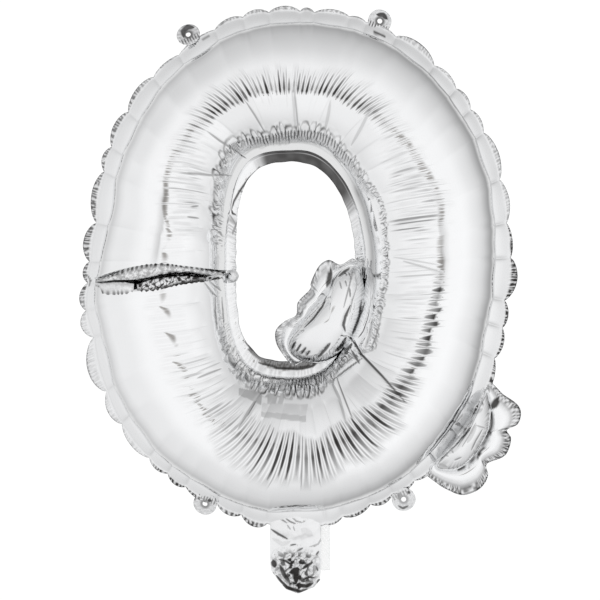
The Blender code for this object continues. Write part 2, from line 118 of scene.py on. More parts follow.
PLEAT_INNER = (
    (0, 0.46), (24, 0.46), (36, 0.36), (50, 0.36), (60, 0.44), (70, 0.42), (90, 0.415), (105, 0.42), (118, 0.43),
    (128, 0.44), (140, 0.40), (155, 0.35), (235, 0.30), (245, 0.30), (258, 0.33), (268, 0.38), (275, 0.45),
    (283, 0.40), (292, 0.38), (303, 0.42), (312, 0.43), (325, 0.46), (335, 0.485), (345, 0.50), (352, 0.51),
)
PLEAT_CORE = (
    (0, 0.54), (24, 0.54), (36, 0.48), (50, 0.46), (60, 0.50), (70, 0.445), (90, 0.44), (105, 0.445), (118, 0.47),
    (128, 0.53), (140, 0.56), (155, 0.53), (240, 0.40), (258, 0.50), (268, 0.56), (275, 0.57), (283, 0.53),
    (292, 0.49), (303, 0.50), (312, 0.515), (320, 0.54), (330, 0.56), (345, 0.572), (352, 0.568),
)
PLEAT_OUTER = (
    (0, 0.59), (24, 0.62), (36, 0.56), (50, 0.56), (60, 0.60), (70, 0.60), (90, 0.57), (105, 0.62), (118, 0.64),
    (128, 0.60), (140, 0.60), (155, 0.56), (240, 0.55), (250, 0.68), (258, 0.72), (268, 0.74), (276, 0.74),
    (284, 0.70), (295, 0.68), (303, 0.66), (308, 0.62), (315, 0.57), (325, 0.568), (335, 0.578), (345, 0.585),
    (352, 0.578),
)
PLEAT_GROOVE = 0.34
PLEAT_RIDGE = 0.16
# The soft edge along the crest where there are no pleats
CREST_EDGE_SHARE = ((0, 0.553), (30, 0.553), (145, 0.525), (185, 0.515), (330, 0.553))
# How dark the crest's soft edge is: a painted dark reflection
CREST_EDGE_SHADE = (
    (0, 0.30), (16, 0.28), (24, 0.10), (30, 0.0), (144, 0.0), (152, 0.30), (174, 0.34), (181, 0.15), (184, 0.0),
    (348, 0.0), (355, 0.28),
)

# Soft streaks between the crumpled band and the crest, by angle
# Their darkness is painted shade and painted dark reflection
STREAK_SHADE = (
    (0, 0.42), (20, 0.70), (30, 0.80), (45, 0.60), (58, 0.30), (66, 0.10), (125, 0.20), (135, 0.45), (148, 0.55),
    (160, 0.35), (168, 0.10), (210, 0.08), (222, 0.35), (240, 0.55), (255, 0.40), (268, 0.12), (300, 0.25),
    (318, 0.40), (335, 0.60), (350, 0.52),
)

# White ribs with grey between them, beside the streaks
RIB_SPACING = 2.3
# The grey between the ribs is painted shade
RIB_SHADE = (
    (0, 0.05), (24, 0.12), (40, 0.14), (55, 0.08), (66, 0.0), (120, 0.02), (134, 0.17), (163, 0.17), (169, 0.0),
    (222, 0.0), (235, 0.12), (255, 0.14), (268, 0.05), (300, 0.06), (325, 0.10), (350, 0.12),
)

# Sharp radial creases inside the crest, in degrees
RADIAL_CREASES = (
    8, 21, 34, 46, 55, 64.7, 78, 89.8, 104.7, 119, 129, 138, 150, 163, 174, 197, 208, 219,
    229, 236, 242, 249, 256, 263, 271, 277, 283, 290, 297, 305, 314, 324, 336, 348,
)
CREASE_DEPTH = 0.22
# How far pleats, streaks and creases turn to run squarely to the hole's weld, in degrees
SQUARE_LEAN = 26.0
FACET_BULGE = 0.36
# How much greyer the flat facets between them can be
# The grey of each facet is a painted reflection, different from facet to facet
FACET_SHADE = (
    (0, 0.0), (50, 0.04), (62, 0.10), (120, 0.10), (130, 0.06), (165, 0.03), (225, 0.04), (250, 0.12), (300, 0.16),
    (325, 0.12), (340, 0.05),
)

# The crumpled band beside the hole: its middle and half width as shares, its depth in mm, how dark its
# valleys are, and where it ends in a fringe of streaks towards the hole
BAND_MIDDLE = (
    (0, 0.155), (14, 0.155), (36, 0.17), (51, 0.13), (66, 0.14), (76, 0.16), (90, 0.14), (103, 0.12), (120, 0.20),
    (130, 0.16), (145, 0.11), (160, 0.07), (200, 0.06), (222, 0.05), (231, 0.06), (242, 0.055), (248, 0.06),
    (267, 0.06), (281, 0.08), (287, 0.06), (300, 0.05), (306, 0.12), (313, 0.18), (322, 0.15), (338, 0.14),
)
BAND_WIDTH = (
    (0, 0.028), (14, 0.028), (36, 0.03), (51, 0.045), (66, 0.06), (76, 0.075), (90, 0.075), (103, 0.075),
    (120, 0.075), (130, 0.075), (145, 0.07), (160, 0.055), (172, 0.03), (205, 0.03), (222, 0.05), (231, 0.075),
    (242, 0.09), (267, 0.09), (281, 0.08), (287, 0.06), (300, 0.05), (313, 0.04), (322, 0.04), (338, 0.035),
)
BAND_DEPTH = (
    (0, 0.35), (30, 0.40), (60, 0.55), (90, 0.65), (130, 0.65), (150, 0.55), (165, 0.15), (178, 0.0), (205, 0.05),
    (225, 0.60), (250, 0.80), (275, 0.80), (300, 0.60), (320, 0.45), (340, 0.40),
)
# How dark the band's valleys are: painted shade and painted dark reflections
BAND_DARK = (
    (0, 0.92), (36, 0.90), (50, 0.75), (70, 0.75), (90, 0.85), (110, 0.90), (130, 0.95), (149, 0.95), (163, 0.75),
    (170, 0.10), (210, 0.0), (222, 0.50), (232, 0.80), (245, 0.90), (280, 0.95), (300, 0.80), (313, 0.70),
    (322, 0.75), (340, 0.90),
)
BAND_FRINGE = ((40, 0.0), (52, 0.5), (62, 1.0), (112, 1.0), (124, 0.3), (135, 0.0), (255, 0.0), (266, 0.7),
               (284, 0.7), (292, 0.0))
# Where the band is large bright and dark shards
# The dark shards are painted shade and painted dark reflections
BAND_SHARDS = ((150, 0.0), (222, 0.0), (232, 0.35), (262, 0.45), (290, 0.45), (300, 0.25), (312, 0.0))
# How ragged the band's rows are
BAND_RAGGED = ((60, 0.8), (110, 0.8), (130, 0.7), (160, 1.0), (220, 1.2), (262, 0.9), (300, 1.0), (330, 1.0))
# The band's ruffles, by angle, and the fringe below them, in mm along a circle of this radius
BAND_REACH = 72.0
RUFFLE_PITCH = (
    (0, 3.2), (40, 3.0), (60, 2.9), (108, 3.0), (122, 4.6), (145, 5.6), (165, 4.0), (220, 4.0), (240, 3.6),
    (265, 2.8), (290, 2.8), (320, 3.4),
)
FRINGE_PITCH = 1.75
# The grey stripe on the hole's wall at the right, the dark line at the crease, and the weld's shade
# The wall's grey stripe is a painted reflection, and the crease's dark line is painted shade
WALL_STRIPE = ((0, 0.42), (40, 0.42), (50, 0.50), (58, 0.15), (66, 0.0), (338, 0.0), (352, 0.40))
CREASE_LINE = (
    (0, 0.10), (24, 0.20), (34, 0.40), (40, 0.62), (49, 0.92), (56, 0.70), (64, 0.25), (75, 0.0), (120, 0.0),
    (135, 0.06), (160, 0.0), (200, 0.0), (240, 0.10), (262, 0.25), (290, 0.30), (320, 0.25), (340, 0.15),
)
# How dark the welded edge is: painted shade and painted dark reflections in its ribs and crumples
WELD_SHADE = (
    (5, 1.0), (9, 0.90), (14, 0.25), (30, 0.35), (60, 0.30), (85, 0.40), (128, 0.40), (135, 0.60), (185, 0.70),
    (196, 0.15), (232, 0.15), (237, 0.90), (243, 0.90), (250, 0.50), (258, 0.80), (268, 0.40), (285, 0.80),
    (297, 0.70), (330, 0.75), (342, 0.95), (350, 1.0),
)
# How much wider the hole's margin is at the bottom, in mm
HOLE_EDGE_EXTRA = ((0, 0.0), (200, 0.0), (228, 0.6), (245, 3.2), (262, 3.8), (280, 3.2), (296, 1.2), (306, 0.0))
# How dark the hole's margin is, by angle: painted dark reflections and painted shade
HOLE_EDGE_SHADE = (
    (0, 0.05), (40, 0.15), (50, 0.70), (58, 0.96), (98, 0.97), (105, 0.93), (110, 0.35), (114, 0.0), (138, 0.0), (145, 0.45),
    (153, 0.30), (160, 0.05), (235, 0.05), (250, 0.25), (280, 0.25), (290, 0.10), (330, 0.05),
)

# Folds of the film that stand alone: half width in mm, darkness, how far they rise in mm, and their course
# as x and z in mm
# Their darkness is painted shade in the folds and painted dark reflection
RING_FOLDS = (
    (0.6, 0.55, -0.5, (-24.5, -54.5), (-19.1, -62.7), (-12.6, -73.6)),
    (0.6, 0.45, -0.5, (7.2, -46.4), (8.6, -60.0), (10.5, -79.0)),
    (0.9, 0.25, 0.4, (5.6, -46.4), (7.0, -60.0), (8.4, -76.0)),
    (1.2, 0.30, -0.4, (31.0, -53.5), (29.6, -62.7), (27.2, -73.6)),
    (1.3, 0.32, -0.4, (58.2, -57.3), (51.8, -70.2), (44.9, -82.5)),
    (0.7, 0.55, -0.5, (-50.4, -73.6), (-42.2, -79.7), (-34.1, -84.5), (-25.2, -90.0)),
    (0.8, 0.5, -0.4, (-63.3, -100.9), (-49.0, -102.2), (-35.4, -101.5)),
    (0.6, 0.6, -0.3, (-61.3, -123.3), (-56.5, -122.6)),
    (1.0, 0.5, -0.5, (-15.0, -246.6), (-23.2, -258.8), (-30.0, -270.4)),
    (0.5, 0.6, -0.3, (-18.4, -252.0), (-23.8, -261.6)),
    (1.1, 0.45, -0.5, (31.3, -238.4), (36.8, -250.0), (41.5, -267.0)),
    (0.6, 0.7, -0.3, (35.4, -237.1), (41.5, -253.4), (46.3, -265.7)),
    (0.9, 0.92, -0.7, (44.3, -209.8), (52.4, -222.1), (65.4, -235.7), (81.0, -253.4)),
    (0.9, 0.8, -0.5, (45.6, -219.4), (50.4, -227.5)),
    (0.7, 0.75, -0.4, (52.4, -224.1), (42.2, -231.6), (32.7, -239.1)),
    (0.6, 0.6, -0.3, (47.7, -222.8), (40.2, -228.2), (34.1, -233.7)),
    (0.6, 0.6, -0.3, (64.0, -200.3), (61.3, -211.2), (57.9, -218.7)),
    (1.0, 0.35, -0.3, (59.2, -197.6), (57.2, -209.1), (54.5, -217.3)),
    (0.5, 0.6, -0.3, (-45.6, -183.3), (-45.6, -193.5), (-44.3, -205.7)),
    (0.5, 0.6, -0.3, (-41.5, -183.3), (-40.9, -194.2), (-40.2, -205.7)),
    (1.2, 0.45, -0.3, (-38.1, -183.3), (-36.1, -193.5), (-35.4, -204.4)),
    (0.6, 0.65, -0.3, (-32.7, -184.6), (-29.3, -193.5), (-26.6, -202.3)),
    (0.7, 0.5, -0.3, (-53.1, -173.0), (-48.4, -179.2), (-44.3, -183.3)),
    (0.7, 0.45, -0.3, (-49.7, -172.4), (-42.2, -179.2)),
    (0.7, 0.5, -0.3, (-57.2, -237.1), (-50.4, -234.3), (-41.5, -230.9)),
    (0.5, 0.3, -0.2, (-57.2, -233.0), (-42.2, -226.8)),
    (0.60, 0.90, -0.4, (13.0, -231.0), (14.6, -238.4)),
    (0.60, 0.92, -0.4, (16.4, -230.2), (18.0, -237.8)),
    (0.55, 0.92, -0.4, (19.4, -229.4), (21.4, -237.1)),
    (0.55, 0.90, -0.4, (22.6, -228.4), (24.8, -235.7)),
    (0.50, 0.85, -0.4, (25.7, -227.0), (27.9, -233.7)),
    (0.6, 0.6, -0.3, (-64.0, -130.0), (-56.5, -130.8)),
    (0.7, 0.35, -0.3, (79.7, -159.4), (104.9, -166.9)),
    (0.5, 0.3, -0.2, (73.5, -156.7), (103.5, -162.1)),
)
# Flat facets with sharp edges: how dark they are, and their corners in mm, clockwise
# Their darkness is painted reflection
RING_FACETS = (
    (0.42, (-30.0, -243.9), (-14.3, -247.3), (-15.0, -255.4), (-30.0, -248.6)),
    (0.36, (-15.0, -259.5), (15.0, -262.3), (15.0, -267.0), (0.0, -265.0), (-15.0, -263.6)),
    (0.20, (-14.3, -254.1), (16.3, -254.8), (15.0, -262.3), (-15.0, -259.5)),
    (0.35, (-10.9, -248.0), (-3.4, -247.3), (-5.4, -254.8), (-10.9, -254.8)),
    (0.28, (-2.0, -247.3), (1.4, -247.3), (-0.7, -254.8), (-4.1, -254.8)),
)
TAIL_INNER_FOLDS = (
    (0.6, 0.85, -0.3, (40.2, -165.0), (42.6, -169.0)),
    (0.5, 0.80, -0.3, (43.6, -166.2), (45.4, -170.6)),
    (0.5, 0.75, -0.3, (41.2, -171.6), (42.6, -176.2)),
    (0.5, 0.70, -0.3, (37.6, -172.6), (38.8, -177.4)),
    (1.1, 0.85, -0.5, (36.8, -169.6), (40.9, -166.2), (44.9, -163.5)),
    (0.6, 0.6, -0.3, (47.0, -163.5), (44.3, -175.1), (40.2, -190.7)),
    (0.5, 0.5, -0.3, (49.7, -175.1), (46.3, -185.3), (44.3, -194.8)),
    (0.7, 0.7, -0.3, (44.3, -177.1), (44.9, -183.3)),
    (1.1, 0.88, -0.8, (44.9, -188.7), (41.5, -196.2), (40.2, -202.3), (41.5, -206.4)),
    (0.8, 0.80, -0.8, (52.4, -186.0), (51.4, -195.5), (48.7, -203.0), (46.3, -208.5)),
    (1.2, 0.88, -0.8, (23.2, -224.1), (27.9, -218.7), (31.3, -214.6)),
    (1.5, 0.88, -0.8, (42.2, -210.5), (38.8, -216.6), (34.7, -220.0)),
    (1.0, 0.8, -0.5, (44.3, -212.5), (48.4, -219.4)),
    (1.0, 0.92, -0.5, (5.2, -218.6), (7.8, -213.2)),
    (0.9, 0.92, -0.5, (8.4, -220.0), (11.6, -215.0)),
    (0.9, 0.92, -0.5, (11.6, -221.8), (15.0, -217.3)),
    (0.8, 0.85, -0.5, (15.0, -223.2), (17.6, -219.6)),
    (0.7, 0.7, -0.4, (0.0, -209.1), (4.8, -206.4)),
    (0.7, 0.8, -0.4, (13.6, -224.8), (18.4, -225.5)),
    (0.8, 0.9, -0.6, (28.9, -182.6), (26.2, -189.4), (20.1, -197.6), (13.9, -204.0)),
    (0.5, 0.55, -0.3, (25.9, -168.3), (23.2, -177.1)),
    (0.5, 0.45, -0.3, (22.5, -166.2), (20.4, -175.8)),
)
TAIL_INNER_EDGE_FOLDS = (
    (2.0, 0.92, 0.0, (31.8, -164.6), (30.8, -171.0), (29.3, -176.6)),
    (1.1, 0.45, -0.3, (19.1, -179.2), (13.6, -185.3), (8.9, -193.5), (8.2, -201.6)),
    (0.7, 0.6, -0.3, (21.8, -179.9), (15.0, -188.0), (10.2, -197.6)),
    (1.4, 0.35, -0.3, (2.0, -201.0), (6.8, -203.7)),
    (1.0, 0.45, -0.3, (-4.8, -207.1), (-4.1, -213.9), (-1.4, -220.0)),
    (0.7, 0.6, -0.3, (25.9, -160.1), (31.3, -158.7), (36.1, -162.1)),
    (0.7, 0.55, -0.3, (19.7, -169.0), (19.1, -175.8), (22.5, -179.2)),
)
TAIL_OUTER_FOLDS = (
    (4.2, 0.26, 0.0, (112.0, -288.5), (119.5, -278.0), (127.0, -265.0)),
    (0.6, 0.55, -0.3, (117.0, -284.5), (122.5, -276.0), (127.5, -266.5)),
    (0.5, 0.50, -0.3, (120.0, -284.5), (125.0, -276.5), (129.5, -268.0)),
    (1.0, 0.97, -0.9, (141.0, -261.6), (141.6, -270.4), (138.2, -280.6), (132.1, -290.9), (125.3, -298.3), (117.8, -301.1)),
    (2.7, 0.95, -0.6, (145.7, -252.0), (141.6, -258.8)),
    (0.6, 0.75, -0.2, (121.2, -275.9), (123.6, -271.7)),
    (1.8, 0.35, -0.3, (126.7, -262.3), (134.2, -258.8)),
    (2.0, 0.30, -0.3, (123.9, -281.3), (129.4, -269.7)),
    (0.6, 0.6, -0.4, (134.2, -272.5), (129.4, -280.6), (126.7, -286.8)),
    (0.6, 0.6, -0.4, (115.1, -279.3), (119.9, -272.5), (125.3, -264.3)),
    (0.5, 0.5, -0.3, (129.4, -269.7), (136.2, -271.8)),
    (0.7, 0.7, -0.4, (132.8, -252.0), (134.8, -256.1)),
    (0.6, 0.6, -0.4, (137.6, -243.9), (140.3, -248.0)),
    (0.5, 0.6, -0.4, (112.4, -285.4), (114.4, -288.8)),
    (0.5, 0.6, -0.4, (106.9, -288.8), (111.0, -290.9)),
    (0.6, 0.6, -0.4, (115.1, -293.6), (119.9, -291.5)),
    (1.4, 0.4, -0.4, (104.9, -296.3), (110.3, -298.3)),
)
NECK_FOLDS = (
    (1.0, 0.92, -0.4, (-5.4, -372.6), (-1.4, -377.4), (3.4, -381.6)),
    (0.8, 0.90, -0.4, (12.9, -375.6), (17.4, -374.0), (21.4, -374.6)),
    (0.9, 0.88, -0.4, (-3.4, -361.8), (1.4, -363.0), (6.2, -366.4)),
    (0.9, 0.88, -0.8, (-8.9, -341.2), (-3.4, -344.7), (2.7, -348.1)),
    (2.3, 0.92, -0.8, (-7.5, -362.4), (-6.1, -367.1)),
    (0.7, 0.7, -0.5, (-7.5, -370.5), (-6.8, -373.9)),
    (1.8, 0.85, -0.8, (-2.7, -365.8), (0.0, -371.9), (4.1, -378.0)),
    (2.7, 0.9, -0.8, (4.1, -370.5), (8.2, -369.9), (8.2, -378.0)),
    (1.5, 0.9, -0.6, (-2.0, -379.4), (5.4, -382.1), (13.6, -384.2)),
    (1.6, 0.92, -0.6, (8.2, -379.4), (15.0, -380.1), (19.7, -378.0)),
    (1.4, 0.85, -0.6, (10.9, -383.5), (17.0, -382.8)),
    (1.1, 0.85, -0.6, (12.3, -368.5), (16.3, -365.8), (19.7, -363.7)),
    (1.6, 0.8, -0.5, (10.2, -373.9), (14.3, -377.3)),
    (0.7, 0.8, -0.4, (21.8, -366.4), (23.2, -369.9)),
    (0.7, 0.8, -0.4, (21.8, -359.0), (23.8, -356.2)),
    (1.2, 0.85, -0.5, (22.5, -378.0), (24.5, -375.3)),
    (0.6, 0.8, -0.4, (4.1, -352.1), (8.2, -351.5)),
    (0.7, 0.75, -0.4, (8.9, -356.2), (12.9, -354.2)),
    (1.0, 0.6, -0.4, (-0.7, -362.4), (0.7, -357.6), (2.7, -357.6)),
    (0.7, 0.55, -0.4, (8.2, -360.3), (12.3, -359.6)),
    (0.5, 0.45, -0.3, (2.7, -366.4), (8.2, -363.7)),
    (0.6, 0.70, -0.3, (-4.0, -332.4), (-1.4, -334.6), (2.2, -336.8)),
    (0.6, 0.75, -0.3, (1.0, -333.6), (4.4, -336.0), (8.2, -337.4)),
    (0.5, 0.60, -0.3, (5.6, -333.4), (8.6, -335.6), (12.6, -336.4)),
    (0.5, 0.55, -0.3, (2.0, -338.0), (4.6, -341.4)),
    (0.5, 0.50, -0.3, (6.2, -339.0), (7.4, -342.4)),
    (1.8, 0.18, -0.2, (-8.0, -347.5), (-1.0, -351.5), (4.0, -350.0)),
    (3.2, 0.16, 0.3, (12.0, -341.0), (19.0, -345.0)),
    (0.7, 0.45, -0.3, (25.2, -340.6), (26.6, -346.0), (23.2, -351.5), (17.0, -353.5)),
)
HOLE_FOLDS = (
    (1.5, 0.95, 0.0, (-17.0, -228.0), (-3.7, -231.6), (9.5, -232.0), (19.1, -230.2), (23.8, -226.8)),
    (0.8, 0.88, 0.0, (-27.9, -212.5), (-21.1, -219.6), (-12.0, -225.0), (-2.0, -226.6), (6.0, -226.0)),
    (3.6, 0.74, 0.0, (-24.0, -219.0), (-10.0, -227.4), (6.0, -229.2), (20.0, -227.5)),
    (0.8, 0.92, 0.0, (-16.3, -94.3), (-24.5, -103.0), (-30.3, -111.3), (-34.0, -118.0), (-35.7, -123.6)),
    (0.7, 0.92, 0.0, (-35.7, -123.6), (-35.0, -126.5), (-32.7, -127.2)),
    (0.6, 0.80, 0.0, (-31.0, -110.8), (-27.8, -112.0)),
    (0.8, 0.60, 0.0, (-36.8, -127.4), (-32.7, -134.2), (-35.4, -141.0)),
)
# Dark spots of the brim and of the tabs
# These dark spots are painted shade and painted dark reflections
BRIM_FOLDS = (
    (0.8, 0.60, 0.0, (-56.0, -9.2), (-50.5, -5.0)),
    (1.2, 0.92, 0.0, (59.8, -3.0), (69.8, -6.3)),
    (0.9, 0.80, 0.0, (154.5, -144.5), (155.5, -157.0)),
    (0.7, 0.75, 0.0, (-134.5, -167.5), (-131.5, -172.0), (-133.0, -176.5)),
    (0.6, 0.60, 0.0, (-128.5, -170.0), (-123.0, -172.5)),
)
TAB_FOLDS = (
    (2.3, 0.85, 0.0, (-68.2, -6.5), (-68.6, -2.1), (-65.6, 0.9), (-61.6, 0.4)),
    (2.0, 0.90, 0.0, (63.2, 9.0), (67.4, 8.9), (70.3, 6.1)),
    (2.2, 0.65, 0.0, (-63.3, -315.6), (-60.6, -321.5)),
    (1.4, 0.88, 0.0, (-51.8, -321.5), (-49.3, -321.8)),
    (1.5, 0.60, 0.0, (78.3, -316.6), (78.6, -321.5)),
    (1.3, 0.85, 0.0, (84.2, -315.5), (85.7, -316.9)),
    (0.9, 0.80, 0.0, (77.6, -325.4), (81.0, -327.2), (84.8, -325.4)),
)
# The lips of the split: their upper and lower edges as x and z in mm, how far they puff out in mm, and
# how dark their ticks, their lower edge and their crumples are
# The lips' ticks, lower edge and crumples are painted shade and painted dark reflections
SPLIT_LIPS = {
    "split_upper_lip": {
        "top": ((-126.8, -171.6), (-121.0, -170.4), (-117.0, -168.9), (-112.0, -167.4), (-107.6, -165.8),
                (-103.5, -163.5), (-98.1, -162.1),
                (-91.3, -160.4), (-81.0, -159.8), (-73.5, -160.8), (-66.1, -162.3), (-58.6, -163.2),
                (-51.8, -165.0), (-40.5, -167.2)),
        "bottom": ((-126.8, -173.6), (-120.5, -173.2), (-113.0, -172.4), (-98.1, -172.4), (-91.3, -171.3), (-81.0, -169.0),
                   (-70.8, -167.5), (-62.7, -167.5), (-53.8, -168.8), (-40.5, -169.0)),
        "puff": 2.6, "ticks": 0.95, "tick_edge": 1.0, "line": 0.80, "line_width": 0.6, "crumples": 0.35,
        "seed": 3},
    "split_lower_left_lip": {
        "top": ((-126.8, -173.4), (-121.9, -173.6), (-118.5, -173.2), (-113.0, -172.6), (-104.9, -173.0),
                (-99.4, -174.4)),
        "bottom": ((-126.8, -175.4), (-123.6, -177.0), (-121.6, -181.4), (-118.5, -182.6), (-113.0, -182.9),
                   (-104.9, -182.6), (-99.4, -181.2)),
        "puff": 2.4, "ticks": 0.75, "tick_edge": 0.0, "line": 0.30, "line_width": 0.6, "crumples": 0.10,
        "seed": 5},
    "split_lower_right_lip": {
        "top": ((-97.5, -175.0), (-91.3, -172.4), (-84.4, -170.6), (-74.2, -168.9), (-64.0, -168.7),
                (-55.2, -169.6), (-41.0, -169.5)),
        "bottom": ((-97.5, -181.2), (-87.8, -181.2), (-77.6, -178.8), (-67.4, -176.2), (-59.2, -174.6),
                   (-52.4, -173.4), (-41.0, -171.0)),
        "puff": 2.2, "ticks": 0.0, "tick_edge": 0.0, "line": 0.92, "line_width": 3.0, "crumples": 0.75,
        "seed": 7},
}
BACK_SPLIT_LIPS = {
    "split_upper_lip_back": {
        "top": ((-127.6, -170.8), (-118.5, -166.5), (-108.0, -163.4), (-95.0, -161.2), (-81.0, -160.3),
                (-66.1, -162.3), (-51.8, -165.0), (-40.5, -167.2)),
        "bottom": ((-127.6, -173.4), (-113.0, -172.9), (-98.1, -172.6), (-91.3, -171.8), (-81.0, -169.8),
                   (-70.8, -168.5), (-62.7, -168.5), (-53.8, -169.2), (-40.5, -169.2)),
        "puff": 2.4, "ticks": 0.75, "tick_edge": 1.0, "line": 0.60, "line_width": 0.6, "crumples": 0.25,
        "seed": 11},
    "split_lower_lip_back": {
        "top": ((-127.6, -172.8), (-113.0, -172.0), (-98.1, -171.4), (-91.3, -170.7), (-81.0, -168.7),
                (-70.8, -167.4), (-62.7, -167.4), (-53.8, -168.4), (-40.5, -168.6)),
        "bottom": ((-127.6, -175.4), (-118.5, -179.6), (-113.0, -181.4), (-104.9, -182.2), (-87.8, -181.2),
                   (-77.6, -178.8), (-67.4, -176.2), (-59.2, -174.6), (-52.4, -173.4), (-40.5, -171.0)),
        "puff": 2.6, "ticks": 0.60, "tick_edge": 0.0, "line": 0.60, "line_width": 0.8, "crumples": 0.40,
        "seed": 13},
}
# How far the lips' edges sink into the split, in mm
SPLIT_LIP_SINK = 1.2
SPLIT_KNOB = {"centre": (-0.0345, -0.0035, -0.1692), "half_sizes": (0.0036, 0.0034, 0.0044)}

# Hanging tabs: the centres of their holes, how each is turned about its foot and tilted, in degrees, and
# how dark its painted shade and painted dark reflections are
TAB_RADIUS = 0.0080
TAB_HOLE_RADIUS = 0.0017
HANG_TABS = {
    "hang_tab_top_left": (-0.0652, -0.0046, 115.0, 24.0, 0.75),
    "hang_tab_top_right": (0.0652, 0.0046, 71.0, 8.0, 0.80),
    "hang_tab_bottom_left": (-0.0538, -0.3240, 249.0, 20.0, 0.65),
    "hang_tab_bottom_right": (0.0815, -0.3210, 295.0, 6.0, 0.55),
}

TAIL_INNER_CENTRE = (0.0305, -0.1985)
TAIL_INNER_DEPTH = 0.0185
TAIL_INNER_PILLOW = (
    (0.0415, -0.1632), (0.0345, -0.1690), (0.0300, -0.1808), (0.0185, -0.1930), (0.0096, -0.2040),
    (0.0030, -0.2130), (0.0036, -0.2215), (0.0130, -0.2275), (0.0280, -0.2275), (0.0405, -0.2190),
    (0.0500, -0.2050), (0.0545, -0.1890), (0.0550, -0.1740), (0.0505, -0.1630),
)
TAIL_INNER_EDGE = (
    (0.0470, -0.1570), (0.0385, -0.1612), (0.0306, -0.1580), (0.0238, -0.1622), (0.0184, -0.1730),
    (0.0176, -0.1780), (0.0095, -0.1868), (0.0082, -0.1955), (0.0007, -0.1996), (-0.0055, -0.2058),
    (-0.0055, -0.2140), (-0.0014, -0.2215), (0.0060, -0.2300),
)
TAIL_OUTER_CENTRE = (0.1235, -0.2775)
TAIL_OUTER_DEPTH = 0.0150
TAIL_OUTER_PILLOW = (
    (0.1385, -0.2480), (0.1408, -0.2610), (0.1395, -0.2735), (0.1335, -0.2850), (0.1262, -0.2950),
    (0.1170, -0.3010), (0.1050, -0.3005), (0.1035, -0.2952), (0.1130, -0.2840), (0.1215, -0.2740),
    (0.1290, -0.2630), (0.1345, -0.2520),
)
TAIL_OUTER_EDGE = (
    (0.1400, -0.2415), (0.1491, -0.2493), (0.1585, -0.2560), (0.1614, -0.2623), (0.1590, -0.2700),
    (0.1519, -0.2738), (0.1546, -0.2793), (0.1530, -0.2870), (0.1491, -0.2922), (0.1382, -0.2970),
    (0.1390, -0.3045), (0.1360, -0.3110), (0.1308, -0.3154), (0.1212, -0.3181), (0.1117, -0.3147),
    (0.1040, -0.3100), (0.0967, -0.3030),
)

# The filling neck: its left and right edge by height
NECK_LEFT = ((-0.3314, -0.0095), (-0.3603, -0.0095), (-0.3692, -0.0088), (-0.3760, -0.0041), (-0.3821, 0.0014),
             (-0.3848, 0.0085))
NECK_RIGHT = ((-0.3314, 0.0252), (-0.3658, 0.0252), (-0.3760, 0.0245), (-0.3807, 0.0204), (-0.3848, 0.0105))
VALVE_BOX = {"left": -0.0060, "right": 0.0313, "top": -0.3330, "bottom": -0.3694}

# The dark colour that the film's painted shade and painted dark reflections mix it towards
PAINTED_SHADE_COLOUR = (0.036, 0.034, 0.033)

# Camera: the photograph is head-on, and shows this much of the plane of the welds
VIEW_CENTRE = (0.0109, -0.1853)
VIEW_WIDTH = 0.4086
CAMERA_DISTANCE = 1.5
SENSOR_WIDTH = 36.0
# The light tent: how much darker it is above and below than at the sides, above than below, to the left, and
# to the right behind the balloon
TENT_UPRIGHT_FALL = -0.22
TENT_TOP_FALL = -0.07
TENT_LEFT_FALL = -0.035
TENT_BACK_FALL = -0.60
FLOOR_HEIGHT = -0.62


# Numbers

def radians(angle):
    return np.radians(angle)


def rise(value, low, high):
    """From 0 below low to 1 above high, without corners."""
    share = np.clip((value - low) / (high - low), 0.0, 1.0)
    return share * share * (3.0 - 2.0 * share)


def by_angle(angle, knots):
    """A value that runs smoothly once round through its knots of angle and value."""
    places = np.array([knot[0] for knot in knots], float)
    values = np.array([knot[1] for knot in knots], float)
    places = np.concatenate((places[-1:] - 360.0, places, places[:1] + 360.0))
    values = np.concatenate((values[-1:], values, values[:1]))
    angle = np.mod(angle, 360.0)
    index = np.clip(np.searchsorted(places, angle, side="right") - 1, 0, len(places) - 2)
    share = (angle - places[index]) / (places[index + 1] - places[index])
    share = share * share * (3.0 - 2.0 * share)
    return values[index] * (1.0 - share) + values[index + 1] * share


def chance(across, up, seed):
    """Repeatable scattered numbers from 0 to 1, one for each pair of whole numbers."""
    mixed = np.sin(across * 127.1 + up * 311.7 + seed * 74.7) * 43758.5453
    return mixed - np.floor(mixed)


def waves(across, up, seed):
    """Smooth uneven swelling, about -1 to 1, with one hump or hollow for each whole step."""
    left, low = np.floor(across), np.floor(up)
    x, y = across - left, up - low
    ease_x = x * x * x * (x * (x * 6.0 - 15.0) + 10.0)
    ease_y = y * y * y * (y * (y * 6.0 - 15.0) + 10.0)
    total = 0.0
    for step_x in (0.0, 1.0):
        for step_y in (0.0, 1.0):
            turn = 2.0 * math.pi * chance(left + step_x, low + step_y, seed)
            slope = (x - step_x) * np.cos(turn) + (y - step_y) * np.sin(turn)
            share_x = ease_x if step_x else 1.0 - ease_x
            share_y = ease_y if step_y else 1.0 - ease_y
            total = total + slope * share_x * share_y
    return total * 1.6


def zigzag(value):
    """Straight rises and falls between 0 and 1."""
    return 1.0 - 2.0 * np.abs(value - np.floor(value) - 0.5)


def thin_line(value, half_width):
    """1 where the value is a half, 0 further than the half width from it."""
    return 1.0 - rise(np.abs(value - 0.5), 0.5 * half_width, 1.1 * half_width)


